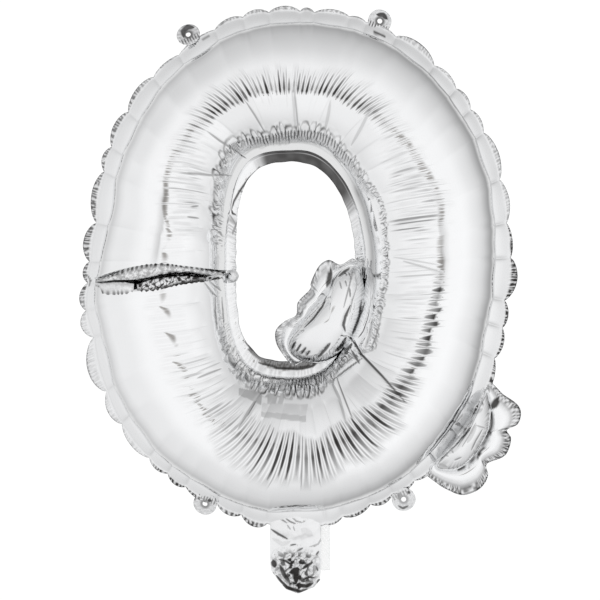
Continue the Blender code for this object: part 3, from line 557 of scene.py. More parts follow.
def facets(across, up, seed, folds=5):
    """Crumpled film: flat facets that meet in sharp creases, about -0.5 to 0.5."""
    total = 0.0
    for fold in range(folds):
        turn = math.pi * (fold + 0.7 * float(chance(fold, 3.0, seed))) / folds
        size = 0.6 + 0.8 * float(chance(fold, 7.0, seed))
        bend = 0.45 * waves(across * 0.6 + 9.0 * fold, up * 0.6, seed + fold)
        total = total + zigzag((across * math.cos(turn) + up * math.sin(turn)) * size + bend) - 0.5
    return total / math.sqrt(folds)


def creased(across, up, seed, width=0.16):
    """The thin straight creases of crumpled film, from 0 to 1."""
    return 1.0 - rise(np.abs(facets(across, up, seed, 3)), 0.2 * width, width)


def shards(across, up, seed, low=0.10, high=0.20):
    """The facets of crumpled film that are turned away, from 0 to 1."""
    return rise(-facets(across, up, seed, 3), low, high)


def oval(angle, reach, fullness):
    """Distance from the ring's centre to an oval that is fuller than an ellipse."""
    sideways, upward = np.cos(radians(angle)), np.sin(radians(angle))
    side = np.where(sideways >= 0.0, reach["right"], reach["left"])
    end = np.where(upward >= 0.0, reach["top"], reach["bottom"])
    power = np.where(sideways >= 0.0, fullness["right"], fullness["left"])
    return (np.abs(sideways / side) ** power + np.abs(upward / end) ** power) ** (-1.0 / power)


def outer_weld(angle):
    return oval(angle, WELD_REACH, WELD_FULLNESS)


def hole_weld(angle):
    return oval(angle, HOLE_REACH, HOLE_FULLNESS) + INNER_MARGIN


def scallop(angle):
    """For each angle: the notch before it, the share of the way to the next notch, and both notches' values."""
    places = np.array([notch[0] for notch in RIM_NOTCHES] + [RIM_NOTCHES[0][0] + 360.0])
    edges = np.array([notch[1] for notch in RIM_NOTCHES] + [RIM_NOTCHES[0][1]])
    stands = np.array([notch[2] for notch in RIM_NOTCHES])
    turned = np.mod(angle - places[0], 360.0) + places[0]
    index = np.clip(np.searchsorted(places, turned, side="right") - 1, 0, len(stands) - 1)
    share = (turned - places[index]) / (places[index + 1] - places[index])
    edge = edges[index] * (1.0 - share) + edges[index + 1] * share
    span = (places[index + 1] - places[index])
    return index, share, edge, stands[index], span


def crease_radius(angle):
    """Where the tube meets its brim. It draws in a little between the notches."""
    index, share, edge, stand, span = scallop(angle)
    drawn = 1.2 - 2.6 * np.sin(math.pi * share) ** 0.8 * np.clip(span / 9.0, 0.4, 1.2)
    return outer_weld(angle) + (by_angle(angle, CREASE_OFFSET) + 0.55 * drawn) * MM


def brim_radius(angle):
    """The brim's own edge, which bulges between the notches."""
    index, share, edge, stand, span = scallop(angle)
    return outer_weld(angle) + (edge + 0.9 * np.sin(math.pi * share) ** 0.7) * MM


def rim_radius(angle):
    """The welded edge past the brim, in scallops."""
    index, share, edge, stand, span = scallop(angle)
    return brim_radius(angle) + (0.25 + stand * np.sin(math.pi * share) ** 0.6) * MM


# Modelling

def on_ring(angle, radius):
    return CENTRE_X + radius * np.cos(radians(angle)), CENTRE_Z + radius * np.sin(radians(angle))


def tube_height(angle, share):
    """How far the tube's surface stands from the welds, away from its two ends. In metres."""
    bend = 4.0 * (by_angle(angle, CREST_SHARE) - 0.5)
    share = np.clip(share, 0.0, 1.0)
    plain = np.abs(bend) < 1e-6
    bend = np.where(plain, 1.0, bend)
    even = ((1.0 + bend) - np.sqrt(np.maximum((1.0 + bend) ** 2 - 4.0 * bend * share, 0.0))) / (2.0 * bend)
    even = np.clip(np.where(plain, share, even), 0.0, 1.0)
    rim = (HOLE_RIM_HEIGHT + (CREASE_HEIGHT - HOLE_RIM_HEIGHT) * share ** 2) * MM
    return TUBE_DEPTH * (2.0 * np.sqrt(even * (1.0 - even))) ** 0.97 + rim


def tube_height_at(x, z):
    """The tube's height over a place in the plane of the welds."""
    angle = np.degrees(np.arctan2(z - CENTRE_Z, x - CENTRE_X))
    radius = np.hypot(x - CENTRE_X, z - CENTRE_Z)
    inner = hole_weld(angle)
    return tube_height(angle, (radius - inner) / (crease_radius(angle) - inner))


def folded(x, z, rows):
    """The film's single folds: how far they lift it, in mm, and how dark their painted shade and painted dark
    reflections are.
    """
    lift, shade = 0.0 * x, 0.0 * x
    x, z = x / MM, z / MM
    for half_width, darkness, height, *places in rows:
        course = np.array(places)
        margin = 2.5 * half_width
        low, high = course.min(axis=0) - margin, course.max(axis=0) + margin
        near = (x > low[0]) & (x < high[0]) & (z > low[1]) & (z < high[1])
        if not near.any():
            continue
        spot = np.stack((x[near], z[near]), axis=1)
        nearest = np.full(len(spot), 1e6)
        progress = np.zeros(len(spot))
        for step, (start, end) in enumerate(zip(course, course[1:])):
            run = end - start
            share = np.clip(((spot - start) @ run) / (run @ run), 0.0, 1.0)
            distance = np.hypot(*(spot - start - share[:, None] * run).T)
            closer = distance < nearest
            nearest = np.where(closer, distance, nearest)
            progress = np.where(closer, (step + share) / (len(course) - 1), progress)
        taper = 1.0 - 0.75 * np.abs(2.0 * progress - 1.0) ** 3
        mark = 1.0 - rise(nearest / (half_width * taper), 0.55, 1.25)
        shade[near] = np.maximum(shade[near], darkness * mark)
        lift[near] += height * np.exp(-(nearest / (1.3 * half_width * taper)) ** 2)
    return lift, shade


def faceted(x, z, rows):
    """How dark the painted reflections of the film's single flat facets are."""
    shade = 0.0 * x
    for darkness, *corners in rows:
        inside = np.full(x.shape, 100.0)
        for (start_x, start_z), (end_x, end_z) in zip(corners, corners[1:] + corners[:1]):
            run_x, run_z = end_x - start_x, end_z - start_z
            side = run_z * (x / MM - start_x) - run_x * (z / MM - start_z)
            inside = np.minimum(inside, side / math.hypot(run_x, run_z))
        shade = np.maximum(shade, darkness * rise(inside, -0.2, 0.25))
    return shade


def surface_normals(points):
    """Unit normals of a grid of points, from its neighbours."""
    along = np.gradient(points, axis=1)
    across = np.gradient(points, axis=0)
    normals = np.cross(along, across)
    length = np.linalg.norm(normals, axis=2, keepdims=True)
    return normals / np.maximum(length, 1e-12)


def film_sheet(name, columns, rows, form, material, merge=False, spread=None):
    """A sheet of film: a bmesh grid drawn over the form, which takes the shares along and across.

    The form gives the points of the grid, how crinkled the film is at each, and how much painted shade and painted
    dark reflection darken it.
    """
    sheet = bmesh.new()
    bmesh.ops.create_grid(sheet, x_segments=columns, y_segments=rows, size=0.5)
    mesh = bpy.data.meshes.new(name)
    sheet.to_mesh(mesh)
    sheet.free()
    count = len(mesh.vertices)
    flat = np.empty(count * 3)
    mesh.vertices.foreach_get("co", flat)
    flat = flat.reshape(count, 3)
    order = np.lexsort((flat[:, 0], np.round(flat[:, 1] * rows)))
    shape = (rows + 1, columns + 1)
    along = (flat[order, 0] + 0.5).reshape(shape)
    across = (flat[order, 1] + 0.5).reshape(shape)
    points, crinkle, shade = form(along, across if spread is None else spread(across))
    placed = np.empty((count, 3))
    placed[order] = points.reshape(count, 3)
    mesh.vertices.foreach_set("co", placed.ravel())
    corners = np.empty(len(mesh.loops), int)
    mesh.loops.foreach_get("vertex_index", corners)
    film_map = mesh.uv_layers.new(name="film_map")
    film_map.data.foreach_set("uv", (flat[corners, :2] + 0.5).ravel())
    for label, amount in (("crinkle", crinkle), ("painted_shade_and_reflection", shade)):
        values = np.empty(count)
        values[order] = np.broadcast_to(amount, shape).ravel()
        mesh.attributes.new(label, "FLOAT", "POINT").data.foreach_set("value", values)
    finish_mesh(mesh, merge)
    return make_piece(name, mesh, material)


def finish_mesh(mesh, merge):
    """Closes the seams of a sheet that runs round, and turns its faces outwards."""
    shape = bmesh.new()
    shape.from_mesh(mesh)
    if merge:
        bmesh.ops.remove_doubles(shape, verts=shape.verts, dist=0.000004)
        bmesh.ops.recalc_face_normals(shape, faces=shape.faces)
    shape.to_mesh(mesh)
    shape.free()
    mesh.shade_smooth()


def face_towards(piece, side):
    """Turns an open sheet's faces to the front, -1, or the back, 1."""
    mesh = piece.data
    normals = np.empty(len(mesh.polygons) * 3)
    mesh.polygons.foreach_get("normal", normals)
    if normals.reshape(-1, 3)[:, 1].mean() * side < 0.0:
        mesh.flip_normals()
    return piece


def make_piece(name, mesh, material):
    piece = bpy.data.objects.new(name, mesh)
    bpy.context.scene.collection.objects.link(piece)
    mesh.materials.append(material)
    return piece


def stand_for(piece, slot, *nodes):
    """Hangs a finished piece on the root and hides the CAD nodes it stands for. The slot, its finish, is not used."""
    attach(piece, "root")
    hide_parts(*nodes)
    return piece


def thicken(piece, thickness):
    """Gives a welded edge its own thickness, half to each side."""
    wall = piece.modifiers.new("weld_thickness", "SOLIDIFY")
    wall.thickness = thickness
    wall.offset = 0.0
    return piece


def pack_rows(weights):
    """Spreads the rows of a grid by density: a spread for film_sheet, from places and weights."""
    places = np.linspace(0.0, 1.0, 401)
    density = np.interp(places, [place for place, weight in weights], [weight for place, weight in weights])
    total = np.concatenate(([0.0], np.cumsum(0.5 * (density[1:] + density[:-1]))))
    total /= total[-1]
    return lambda across: np.interp(across, total, places)


# The tube's film

def square_angle(angle, share):
    """The angle at which a line that leaves the hole's weld squarely crosses the middle of the tube."""
    return angle + SQUARE_LEAN * np.sin(radians(2.0 * (angle - SPLIT_ANGLE))) * (share - 0.45)


def on_square_line(straight, even):
    """The angle and share of a place on such a line, which is given evenly spread across the tube."""
    angle = straight
    for _ in range(6):
        share = even + 4.0 * (by_angle(angle, CREST_SHARE) - 0.5) * even * (1.0 - even)
        angle = straight + angle - square_angle(angle, share)
    return angle, even + 4.0 * (by_angle(angle, CREST_SHARE) - 0.5) * even * (1.0 - even)


def pleats(angle, share, seed):
    """The comb of pleats that gathers the film at the crest: its relief in mm, and how dark its painted shade and
    painted dark reflections make it.
    """
    straight = square_angle(angle, share)
    phase = PLEAT_COUNT * straight / 360.0 + 0.40 * waves(straight / 6.0, 0.0 * angle, seed)
    phase = phase - PLEAT_TOP_CROWDING * np.cos(radians(straight))
    phase = phase - PLEAT_END_CROWDING * np.sin(radians(2.0 * straight))
    number = np.floor(phase)
    single = np.abs(phase - number - 0.5)
    comb = by_angle(angle, PLEAT_STRENGTH)
    strength = comb * (0.45 + 0.75 * chance(number, 1.0, seed))
    inner = by_angle(angle, PLEAT_INNER) + 0.030 * (chance(number, 2.0, seed) - 0.5)
    outer = by_angle(angle, PLEAT_OUTER) + 0.070 * (chance(number, 4.0, seed) - 0.5)
    core = by_angle(angle, PLEAT_CORE) + 0.035 * (chance(number, 3.0, seed) - 0.5)
    core = np.clip(core, inner + 0.008, outer - 0.008)
    run_in = np.clip((share - inner) / (core - inner), 0.0, 1.0)
    run_out = np.clip((outer - share) / (outer - core), 0.0, 1.0)
    body = np.minimum(run_in, run_out)
    wedge = 1.0 - rise(single / (0.08 + by_angle(angle, PLEAT_WIDTH) * body ** 0.8), 0.6, 1.15)
    # Painted shade and painted dark reflections: dark teeth, darker partners beside them, grey between the ridges, and
    # the soft dark edge along the crest
    tooth = strength * wedge * rise(body, 0.0, 0.12) * (0.40 + 0.75 * body ** 0.7)
    spread = rise(share, inner - 0.02, inner + 0.02) * (1.0 - rise(share, outer - 0.02, outer + 0.06))
    partner = (1.0 - rise(0.5 - single, 0.04, 0.13)) * spread * chance(number + (phase - number > 0.5), 5.0, seed)
    ridge = np.exp(-((single - 0.31) / 0.08) ** 2) * spread
    grey = by_angle(angle, PLEAT_GREY) * spread * (1.0 - ridge)
    from_edge = share - by_angle(angle, CREST_EDGE_SHARE)
    edge = rise(from_edge, -0.008, 0.004) * (1.0 - rise(from_edge, 0.0, 0.08)) * by_angle(angle, CREST_EDGE_SHADE)
    shade = np.maximum(np.maximum(tooth, 0.65 * comb * partner), np.maximum(grey, edge))
    lift = comb * rise(comb, 0.03, 0.12) * (PLEAT_RIDGE * ridge - PLEAT_GROOVE * wedge * body ** 0.8 - 0.08 * partner)
    return lift, np.minimum(shade, 0.97)


def streaks(angle, share, seed):
    """Soft straight streaks that run from the crumpled band out to the crest, and how dark their painted shade and
    painted dark reflection make them.
    """
    straight = square_angle(angle, share)
    total, lift = 0.0 * angle, 0.0 * angle
    for spacing, weight, layer in ((1.25, 1.0, 0.0), (0.85, 0.55, 5.0)):
        phase = straight / spacing + 0.5 * waves(straight / 4.0, share * 0.8, seed + layer)
        number = np.floor(phase)
        line = thin_line(phase - number, 0.24 + 0.16 * chance(number, 1.0, seed + layer))
        start = 0.20 + 0.22 * chance(number, 2.0, seed + layer)
        end = 0.40 + 0.22 * chance(number, 3.0, seed + layer)
        run = rise(share, start - 0.05, start + 0.06) * (1.0 - rise(share, end - 0.08, end + 0.03))
        strong = weight * chance(number, 4.0, seed + layer) ** 2.2
        total = np.maximum(total, strong * line * run)
        lift = lift - 0.10 * strong * line * run
    phase = straight / RIB_SPACING + 0.5 * waves(straight / 7.0, share * 1.5, seed + 13)
    start = 0.20 + 0.10 * chance(np.floor(phase), 2.0, seed + 13)
    run = rise(share, start, start + 0.08) * (1.0 - rise(share, start + 0.17, start + 0.23))
    # Painted shade: grey grooves between the white ribs, and the streaks' dark lines
    ribs = by_angle(angle, RIB_SHADE) * run * rise(zigzag(phase), 0.25, 0.75)
    amount = by_angle(angle, STREAK_SHADE)
    return rise(amount, 0.10, 0.45) * lift - 0.8 * ribs, np.maximum(amount * total, ribs)


def radial_creases(angle, share, seed):
    """Flat facets between sharp creases, inside the crest: their relief in mm, and how dark their painted reflections
    are.
    """
    places = np.array(RADIAL_CREASES, float)
    places = np.concatenate((places[-1:] - 360.0, places, places[:1] + 360.0))
    turned = np.mod(square_angle(angle, share), 360.0)
    index = np.clip(np.searchsorted(places, turned, side="right") - 1, 0, len(places) - 2)
    span = places[index + 1] - places[index]
    single = (turned - places[index]) / span
    reach = 0.34 + 0.10 * chance(index, 1.0, seed)
    start = 0.14 + 0.06 * chance(index, 2.0, seed)
    fade = rise(share, start, start + 0.05) * (1.0 - rise(share, reach, reach + 0.10))
    bow = 1.0 - (2.0 * single - 1.0) ** 2
    near = np.minimum(single, 1.0 - single) * span
    groove = np.exp(-near / 0.55)
    amount = 0.55 + 0.9 * chance(index, 5.0, seed)
    # Painted reflection: each facet is a little greyer by chance, as if it mirrored a different part of the room
    tone = by_angle(angle, FACET_SHADE) * (0.3 + 1.2 * chance(index, 9.0, seed))
    return fade * amount * (FACET_BULGE * (bow - 0.6) - CREASE_DEPTH * groove), fade * tone


def ruffles(angle, place, seed):
    """A row of small rounded ruffles, at places 0 to 1: how far they swell, and the painted dark lines of shade round
    them.
    """
    steps = np.linspace(0.0, 720.0, 1441)
    passed = np.cumsum(math.radians(0.5) * BAND_REACH / by_angle(steps, RUFFLE_PITCH))
    phase = np.interp(angle, steps, passed)
    phase = phase + 0.8 * waves(phase / 2.2, 0.3 * place, seed)
    number = np.floor(phase)
    side = 2.0 * (phase - number) - 1.0
    top = (0.35 + 0.65 * chance(number, 1.0, seed)) * np.sqrt(1.0 - np.abs(side) ** 3)
    on_row = rise(place, -0.12, 0.04)
    inside = rise(top - place, 0.0, 0.22) * on_row
    outline = np.exp(-((place - top) / 0.17) ** 2) * on_row
    parting = (1.0 - rise(1.0 - np.abs(side), 0.08, 0.32)) * rise(0.65 - place, 0.0, 0.25) * on_row
    turned = 0.55 + 0.45 * side * np.where(chance(number, 5.0, seed) > 0.3, 1.0, -1.0)
    line = np.maximum(outline, parting) * (0.55 + 0.45 * chance(number, 2.0, seed)) * (0.40 + 0.85 * turned)
    return inside * (1.0 - side ** 2), np.minimum(line, 1.0)


def crumpled_band(angle, share, seed):
    """The crumpled film beside the hole: its relief in mm, how dark its painted shade and painted dark reflections
    make it, and how crumpled.
    """
    arc = radians(angle) * BAND_REACH
    width = by_angle(angle, BAND_WIDTH) * (1.0 + 0.16 * waves(arc / 9.0, 0.0 * arc, seed + 4))
    place = (share - by_angle(angle, BAND_MIDDLE)) / width
    place = place + 0.10 * facets(arc / 4.5, share * 20.0, seed + 3, 3) * by_angle(angle, BAND_RAGGED)
    inside = 1.0 - rise(np.abs(place), 0.95, 1.15)
    fringe = by_angle(angle, BAND_FRINGE)
    swell, line = ruffles(angle, place, seed + 1)
    wavy = (0.30 + 0.6 * (1.0 - fringe)) * waves(arc / 5.0, share * 18.0, seed + 6)
    phase = arc / (FRINGE_PITCH * (1.5 - 0.5 * fringe)) + wavy
    long = 0.2 + 0.6 * chance(np.floor(phase), 1.0, seed)
    run = rise(place, -1.0, -1.0 + long) * (1.0 - rise(place, 0.30 - 0.30 * fringe, 0.60 - 0.35 * fringe))
    broken = rise(waves(arc / 3.4, share * 24.0, seed + 12) + 0.8 * fringe, -0.35, 0.15)
    hanging = rise(zigzag(phase), 0.45, 0.80) * run * broken
    cuts = by_angle(angle, BAND_SHARDS) * shards(arc / 5.5, share * 14.0, seed + 9)
    # Painted shade and painted dark reflections: the ruffles' dark outlines, the dark hanging streaks of the fringe,
    # the dark shards, and a grey under the fringe
    dark = np.maximum(np.maximum(line, cuts), (0.65 + 0.3 * fringe) * hanging)
    low = 1.0 - rise(place, -0.1, 0.2)
    dark = np.maximum(dark, 0.22 * fringe * low)
    height = 1.2 * swell - 0.7 * hanging
    height = height + 0.35 * (1.0 - 0.6 * fringe * low) * facets(arc / 5.5, share * 14.0, seed + 9, 3)
    return (inside * by_angle(angle, BAND_DEPTH) * height, inside * by_angle(angle, BAND_DARK) * dark,
            0.15 * inside * (1.0 - fringe))


def split_shoulder(angle_from_end, share):
    """The round end of the tube at the split, which is flatter beside the welds."""
    reach = SPLIT_ROUNDING * (0.12 + 0.88 * np.sin(math.pi * np.clip(share, 0.0, 1.0)))
    run = np.clip(angle_from_end / reach, 0.0, 1.0)
    return np.sqrt(np.maximum(0.0, 1.0 - (1.0 - run) ** 2))


def notch_dents(angle, share):
    """Soft dents that run into the tube from the rim's notches."""
    index, single, edge, stand, span = scallop(angle)
    near = np.minimum(single, 1.0 - single) * span
    depth = 0.3 + 0.8 * chance(index + (single > 0.5), 4.0, 3)
    return -depth * np.exp(-(near / 1.3) ** 2) * rise(share, 0.82, 1.0)


def ring_film_form(side, seed, first, last):
    """The form of a stretch of one film of the tube: side is -1 for the front and 1 for the back."""
    def form(along, across):
        angle, share = on_square_line(first + (last - first) * along, 0.5 - 0.5 * np.cos(math.pi * across))
        from_end = np.minimum(angle - SPLIT_ANGLE, SPLIT_ANGLE + 360.0 - angle) - SPLIT_HALF_GAP
        inner, outer = hole_weld(angle), crease_radius(angle)
        shoulder = split_shoulder(from_end, share)
        height = HOLE_RIM_HEIGHT * MM + (tube_height(angle, share) - HOLE_RIM_HEIGHT * MM) * shoulder
        x, z = on_ring(angle, inner + share * (outer - inner))
        points = np.stack((x, side * height, z), axis=2)
        normals = surface_normals(points)
        outward = np.sign((normals[..., 1] * side).mean())
        lift, shade = pleats(angle, share, seed)
        facet, facet_shade = radial_creases(angle, share, seed)
        band, band_shade, inside = crumpled_band(angle, share, seed)
        streak, streak_shade = streaks(angle, share, seed)
        lift += streak + facet * rise(from_end, 1.0, 7.0) + band + notch_dents(angle, share)
        lift += 0.30 * waves(angle / 16.0, share * 2.4, seed + 2) * rise(from_end, 0.0, 14.0)
        shade = np.maximum(np.maximum(shade, band_shade), np.maximum(streak_shade, facet_shade))
        # Painted reflection: a grey stripe on the hole's wall. Painted shade: a dark line along the crease, and
        # darkness at the tube's two ends in the split
        shade = np.maximum(shade, by_angle(angle, WALL_STRIPE) * np.exp(-((share - 0.055) / 0.024) ** 2))
        shade = np.maximum(shade, by_angle(angle, CREASE_LINE) * rise(share, 0.972, 0.992))
        shade = np.maximum(shade, 0.55 * (1.0 - rise(from_end, 0.2, 1.3)) * np.sin(math.pi * np.clip(share, 0, 1)))
        if side < 0.0:
            # Painted shade and painted dark reflections of the single folds and flat facets
            fold_lift, painted_shade_and_reflection = folded(x, z, RING_FOLDS)
            lift += fold_lift
            shade = np.maximum(np.maximum(shade, painted_shade_and_reflection), faceted(x, z, RING_FACETS))
        points = points + normals * (outward * lift * MM)[..., None]
        return points, inside, shade
    return form


def make_ring_films(material):
    """The tube's front film in three stretches, so that its pleats are fine, and its back film in one."""
    rows = pack_rows(((0.0, 1.0), (0.12, 1.5), (0.15, 3.0), (0.34, 3.0), (0.41, 1.8), (0.62, 1.8), (0.70, 0.9),
                      (1.0, 1.1)))
    start, end = SPLIT_ANGLE + SPLIT_HALF_GAP, SPLIT_ANGLE + 360.0 - SPLIT_HALF_GAP
    stretches = (("lower", start, 305.0), ("right", 305.0, 425.0), ("upper", 425.0, end))
    for word, first, last in stretches:
        front = film_sheet("ring_front_film_" + word, 890, 100, ring_film_form(-1.0, 11, first, last), material,
                           spread=rows)
        stand_for(face_towards(front, -1.0), "panel_film", "ring_front_panel")
    back = film_sheet("ring_back_film", 830, 44, ring_film_form(1.0, 23, start, end), material, spread=rows)
    stand_for(face_towards(back, 1.0), "panel_film", "ring_back_panel")


# The brim, the welds and the tabs

def brim_form(along, across):
    """Round the section: out over the front from under the tube's film to the welded edge, and back behind it."""
    angle = 360.0 * along
    front = np.where(across <= 0.5, 1.0, -1.0)
    out = np.where(across <= 0.5, across * 2.0, 2.0 - across * 2.0)
    index, single, edge, stand, span = scallop(angle)
    crease, brim, rim = crease_radius(angle), brim_radius(angle), rim_radius(angle)
    on_brim = np.clip(out / 0.62, 0.0, 1.0)
    on_weld = np.clip((out - 0.62) / 0.38, 0.0, 1.0)
    tuck = 2.0 * MM
    radius = np.where(out < 0.62, crease - tuck + (brim - crease + tuck) * on_brim, brim + (rim - brim) * on_weld)
    near = np.minimum(single, 1.0 - single) * span
    pinch = 1.0 - by_angle(angle, NOTCH_PINCH) * np.exp(-near / 0.6)
    height = BRIM_EDGE_HEIGHT + (CREASE_HEIGHT - 0.3 - BRIM_EDGE_HEIGHT) * (1.0 - on_brim) ** 1.25
    height += 0.8 * np.sin(math.pi * on_brim) * pinch
    height = np.where(out < 0.62, height * (0.45 + 0.55 * pinch), BRIM_EDGE_HEIGHT * (1.0 - on_weld) + 0.12)
    arc = radians(angle) * 150.0
    ribs = zigzag(arc / 2.3 + 1.3 * waves(arc / 9.0, 0.0 * arc, 5)) - 0.5
    crumples = facets(arc / 3.0, out * 4.0, 31, 4)
    lean = waves(arc / 13.0, 0.0 * arc, 8) * 1.6
    flap = on_weld * (lean + 0.7 * ribs * np.minimum(stand / 3.0, 1.0) + 0.8 * crumples)
    x, z = on_ring(angle, radius)
    points = np.stack((x, (flap - front * height) * MM, z), axis=2)
    # Painted shade and painted dark reflections: the welded edge darker in its ribs and crumples, a dark line at the
    # seam, the notches' dents, a faint grey over all, and the dark spots
    weld = by_angle(angle, WELD_SHADE) * rise(on_weld, 0.05, 0.30)
    dark = weld * (0.25 + 0.95 * rise(ribs + 0.8 * crumples, -0.30, 0.20))
    seam = 0.45 * np.exp(-((out - 0.62) / 0.035) ** 2) * np.minimum(stand / 3.0, 1.0)
    dent = 0.16 * by_angle(angle, NOTCH_PINCH) * np.exp(-near / 0.35) * rise(on_brim, 0.1, 0.4) * (1.0 - on_weld)
    shade = np.maximum(np.maximum(np.minimum(dark, 0.97), seam), 0.06 + dent)
    shade = np.maximum(shade, folded(x, z, BRIM_FOLDS)[1])
    return points, 0.5 * rise(on_weld, 0.0, 0.2), shade


def make_brim(material):
    """The puffed brim past the outer weld, with its scalloped welded edge."""
    brim = film_sheet("outer_seam_brim", 1900, 24, brim_form, material, merge=True)
    return stand_for(brim, "margin_film", "outer_seam_margin")


def hole_edge_form(along, across):
    """The narrow margin round the hole, with short crinkles. It leans back on the right."""
    angle = 360.0 * along
    front = np.where(across <= 0.5, 1.0, -1.0)
    out = np.where(across <= 0.5, across * 2.0, 2.0 - across * 2.0)
    arc = radians(angle) * 62.0
    edge = hole_weld(angle) - INNER_MARGIN + 0.6 * MM * waves(arc / 8.0, 0.0 * arc, 17)
    edge = edge - by_angle(angle, HOLE_EDGE_EXTRA) * MM
    radius = hole_weld(angle) + 0.6 * MM + (edge - hole_weld(angle) - 0.6 * MM) * out
    height = 1.1 * (1.0 - out) ** 1.5 + 0.12
    calm = by_angle(angle, ((0, 0.5), (40, 0.2), (60, 0.15), (105, 0.15), (125, 0.6), (150, 1.0), (240, 0.6),
                            (255, 0.2), (285, 0.2), (300, 0.6)))
    ribs = zigzag(arc / 3.4 + 1.5 * waves(arc / 11.0, 0.0 * arc, 6)) - 0.5
    crumples = facets(arc / 4.0, out * 2.0, 41, 4)
    lean = by_angle(angle, ((0, 5.0), (30, 3.6), (55, 1.0), (90, 0.0), (150, 0.3), (200, 0.3), (270, 0.0), (320, 2.0)))
    y = -front * height + out * (lean + calm * (0.9 * ribs * out + 0.7 * crumples))
    x, z = on_ring(angle, radius)
    # Painted dark reflections and painted shade on the margin: streaked where it is calm, ribbed where it is crinkled,
    # and the single folds
    streaked = 0.96 + 0.04 * waves(arc / 5.0, out * 1.5, 19)
    ribbed = rise(np.abs(angle - 80.0), 26.0, 42.0)
    shade = by_angle(angle, HOLE_EDGE_SHADE) * (streaked * (1.0 - ribbed) + (0.6 + 1.2 * ribs) * ribbed)
    shade = np.clip(shade * rise(out, 0.02, 0.12), 0.0, 0.95)
    shade = np.maximum(shade, folded(x, z, HOLE_FOLDS)[1])
    return np.stack((x, y * MM, z), axis=2), 0.5 * out * calm, shade


def make_hole_edge(material):
    edge = film_sheet("inner_seam_edge", 900, 24, hole_edge_form, material, merge=True)
    return stand_for(edge, "margin_film", "inner_seam_margin")


def tab_form(name):
    """A round tab with its hole. Ribs run in from its foot, and it leans on its foot."""
    middle_x, middle_z, outward, tilt, darkness = HANG_TABS[name]

    def form(along, across):
        angle = 360.0 * along
        radius = TAB_HOLE_RADIUS + (TAB_RADIUS - TAB_HOLE_RADIUS) * across
        side = radius * np.cos(radians(angle))
        up = radius * np.sin(radians(angle))
        foot = rise(-up, 0.0, TAB_RADIUS)
        ribs = (zigzag(side / 0.0019) - 0.5) * foot
        crumples = facets(side / 0.0035, up / 0.0035, len(name), 4) * rise(across, 0.1, 0.5)
        lift = ribs + 0.5 * crumples + 1.2 * np.sin(side / TAB_RADIUS * 1.5)
        out = up * math.cos(math.radians(tilt))
        back = up * math.sin(math.radians(tilt))
        turn = math.radians(outward - 90.0)
        x = middle_x + side * math.cos(turn) - out * math.sin(turn)
        z = middle_z + side * math.sin(turn) + out * math.cos(turn)
        # Painted dark reflections and painted shade: a dark ring round the hole, dark crease lines, dark valleys
        # between the ribs of the foot, lighter at the foot's end, and the dark spots
        ring = np.exp(-((across - 0.10) / 0.24) ** 2)
        shade = np.maximum(darkness * ring, 0.14 + 0.25 * darkness * creased(side / 0.004, up / 0.004, len(name)))
        shade = np.maximum(shade, 1.1 * darkness * rise(foot, 0.02, 0.20) * rise(-ribs, 0.0, 0.25 * foot + 0.01))
        shade = shade * (1.0 - 0.75 * rise(-up, 0.62 * TAB_RADIUS, 0.80 * TAB_RADIUS))
        shade = np.maximum(shade, folded(x, z, TAB_FOLDS)[1])
        return np.stack((x, lift * MM * 0.8 + back, z), axis=2), 0.3 + 0.0 * along, np.clip(shade, 0.0, 0.95)
    return form


def make_hang_tabs(material):
    for name in HANG_TABS:
        tab = film_sheet(name + "_film", 100, 18, tab_form(name), material, merge=True)
        stand_for(thicken(tab, 0.0003), "margin_film", name)


# The split

def lip_form(side, top, bottom, puff, ticks, tick_edge, line, line_width, crumples, seed):
    """One lip of the weld across the tube: a slim puffed film between two edges, over the split."""
    upper, lower = np.array(top) * MM, np.array(bottom) * MM

    def form(along, across):
        x = upper[0, 0] + (upper[-1, 0] - upper[0, 0]) * along
        high = np.interp(x, upper[:, 0], upper[:, 1])
        low = np.interp(x, lower[:, 0], lower[:, 1])
        z = low + (high - low) * across
        run = x / MM
        taper = np.sin(math.pi * np.clip(along, 0.0, 1.0)) ** 0.4
        rib = zigzag(run / 3.3 + 0.5 * waves(run / 9.0, 0.0 * run, seed))
        at_edge = rise(np.abs(across - (1.0 - tick_edge)), 0.45, 0.80)
        cuts = np.maximum(creased(run / 4.0, (z / MM) / 3.2, seed), 0.9 * shards(run / 4.4, (z / MM) / 3.4, seed + 1))
        depth = puff * np.sin(math.pi * across) ** 0.6 * taper
        depth = depth + 0.9 * (rib - 0.5) * at_edge + 0.7 * crumples * facets(run / 3.4, (z / MM) / 3.0, seed, 4)
        sunk = SPLIT_LIP_SINK * np.abs(2.0 * across - 1.0) ** 3 * taper
        y = side * (tube_height_at(x, z) * 0.97 + (depth - sunk) * MM)
        # Painted shade and painted dark reflections: dark ticks along one edge, a dark line along the lower edge, dark
        # crumples, and darker ends
        shade = ticks * at_edge * rise(rib, 0.35, 0.60) * (0.75 + 0.25 * chance(np.floor(run / 3.3), 2.0, seed))
        at_knob = 1.0 - 0.7 * rise(x, -0.056, -0.050)
        from_low = across * (high - low) / MM
        shade = np.maximum(shade, line * at_knob * (1.0 - rise(from_low / line_width, 0.6, 1.5)))
        shade = np.maximum(shade, np.minimum(1.0, 1.35 * crumples * cuts))
        shade = np.maximum(shade, 0.2 * (1.0 - rise(taper, 0.3, 0.7)))
        return np.stack((x, y, z), axis=2), 0.5 + 0.0 * along, shade
    return form


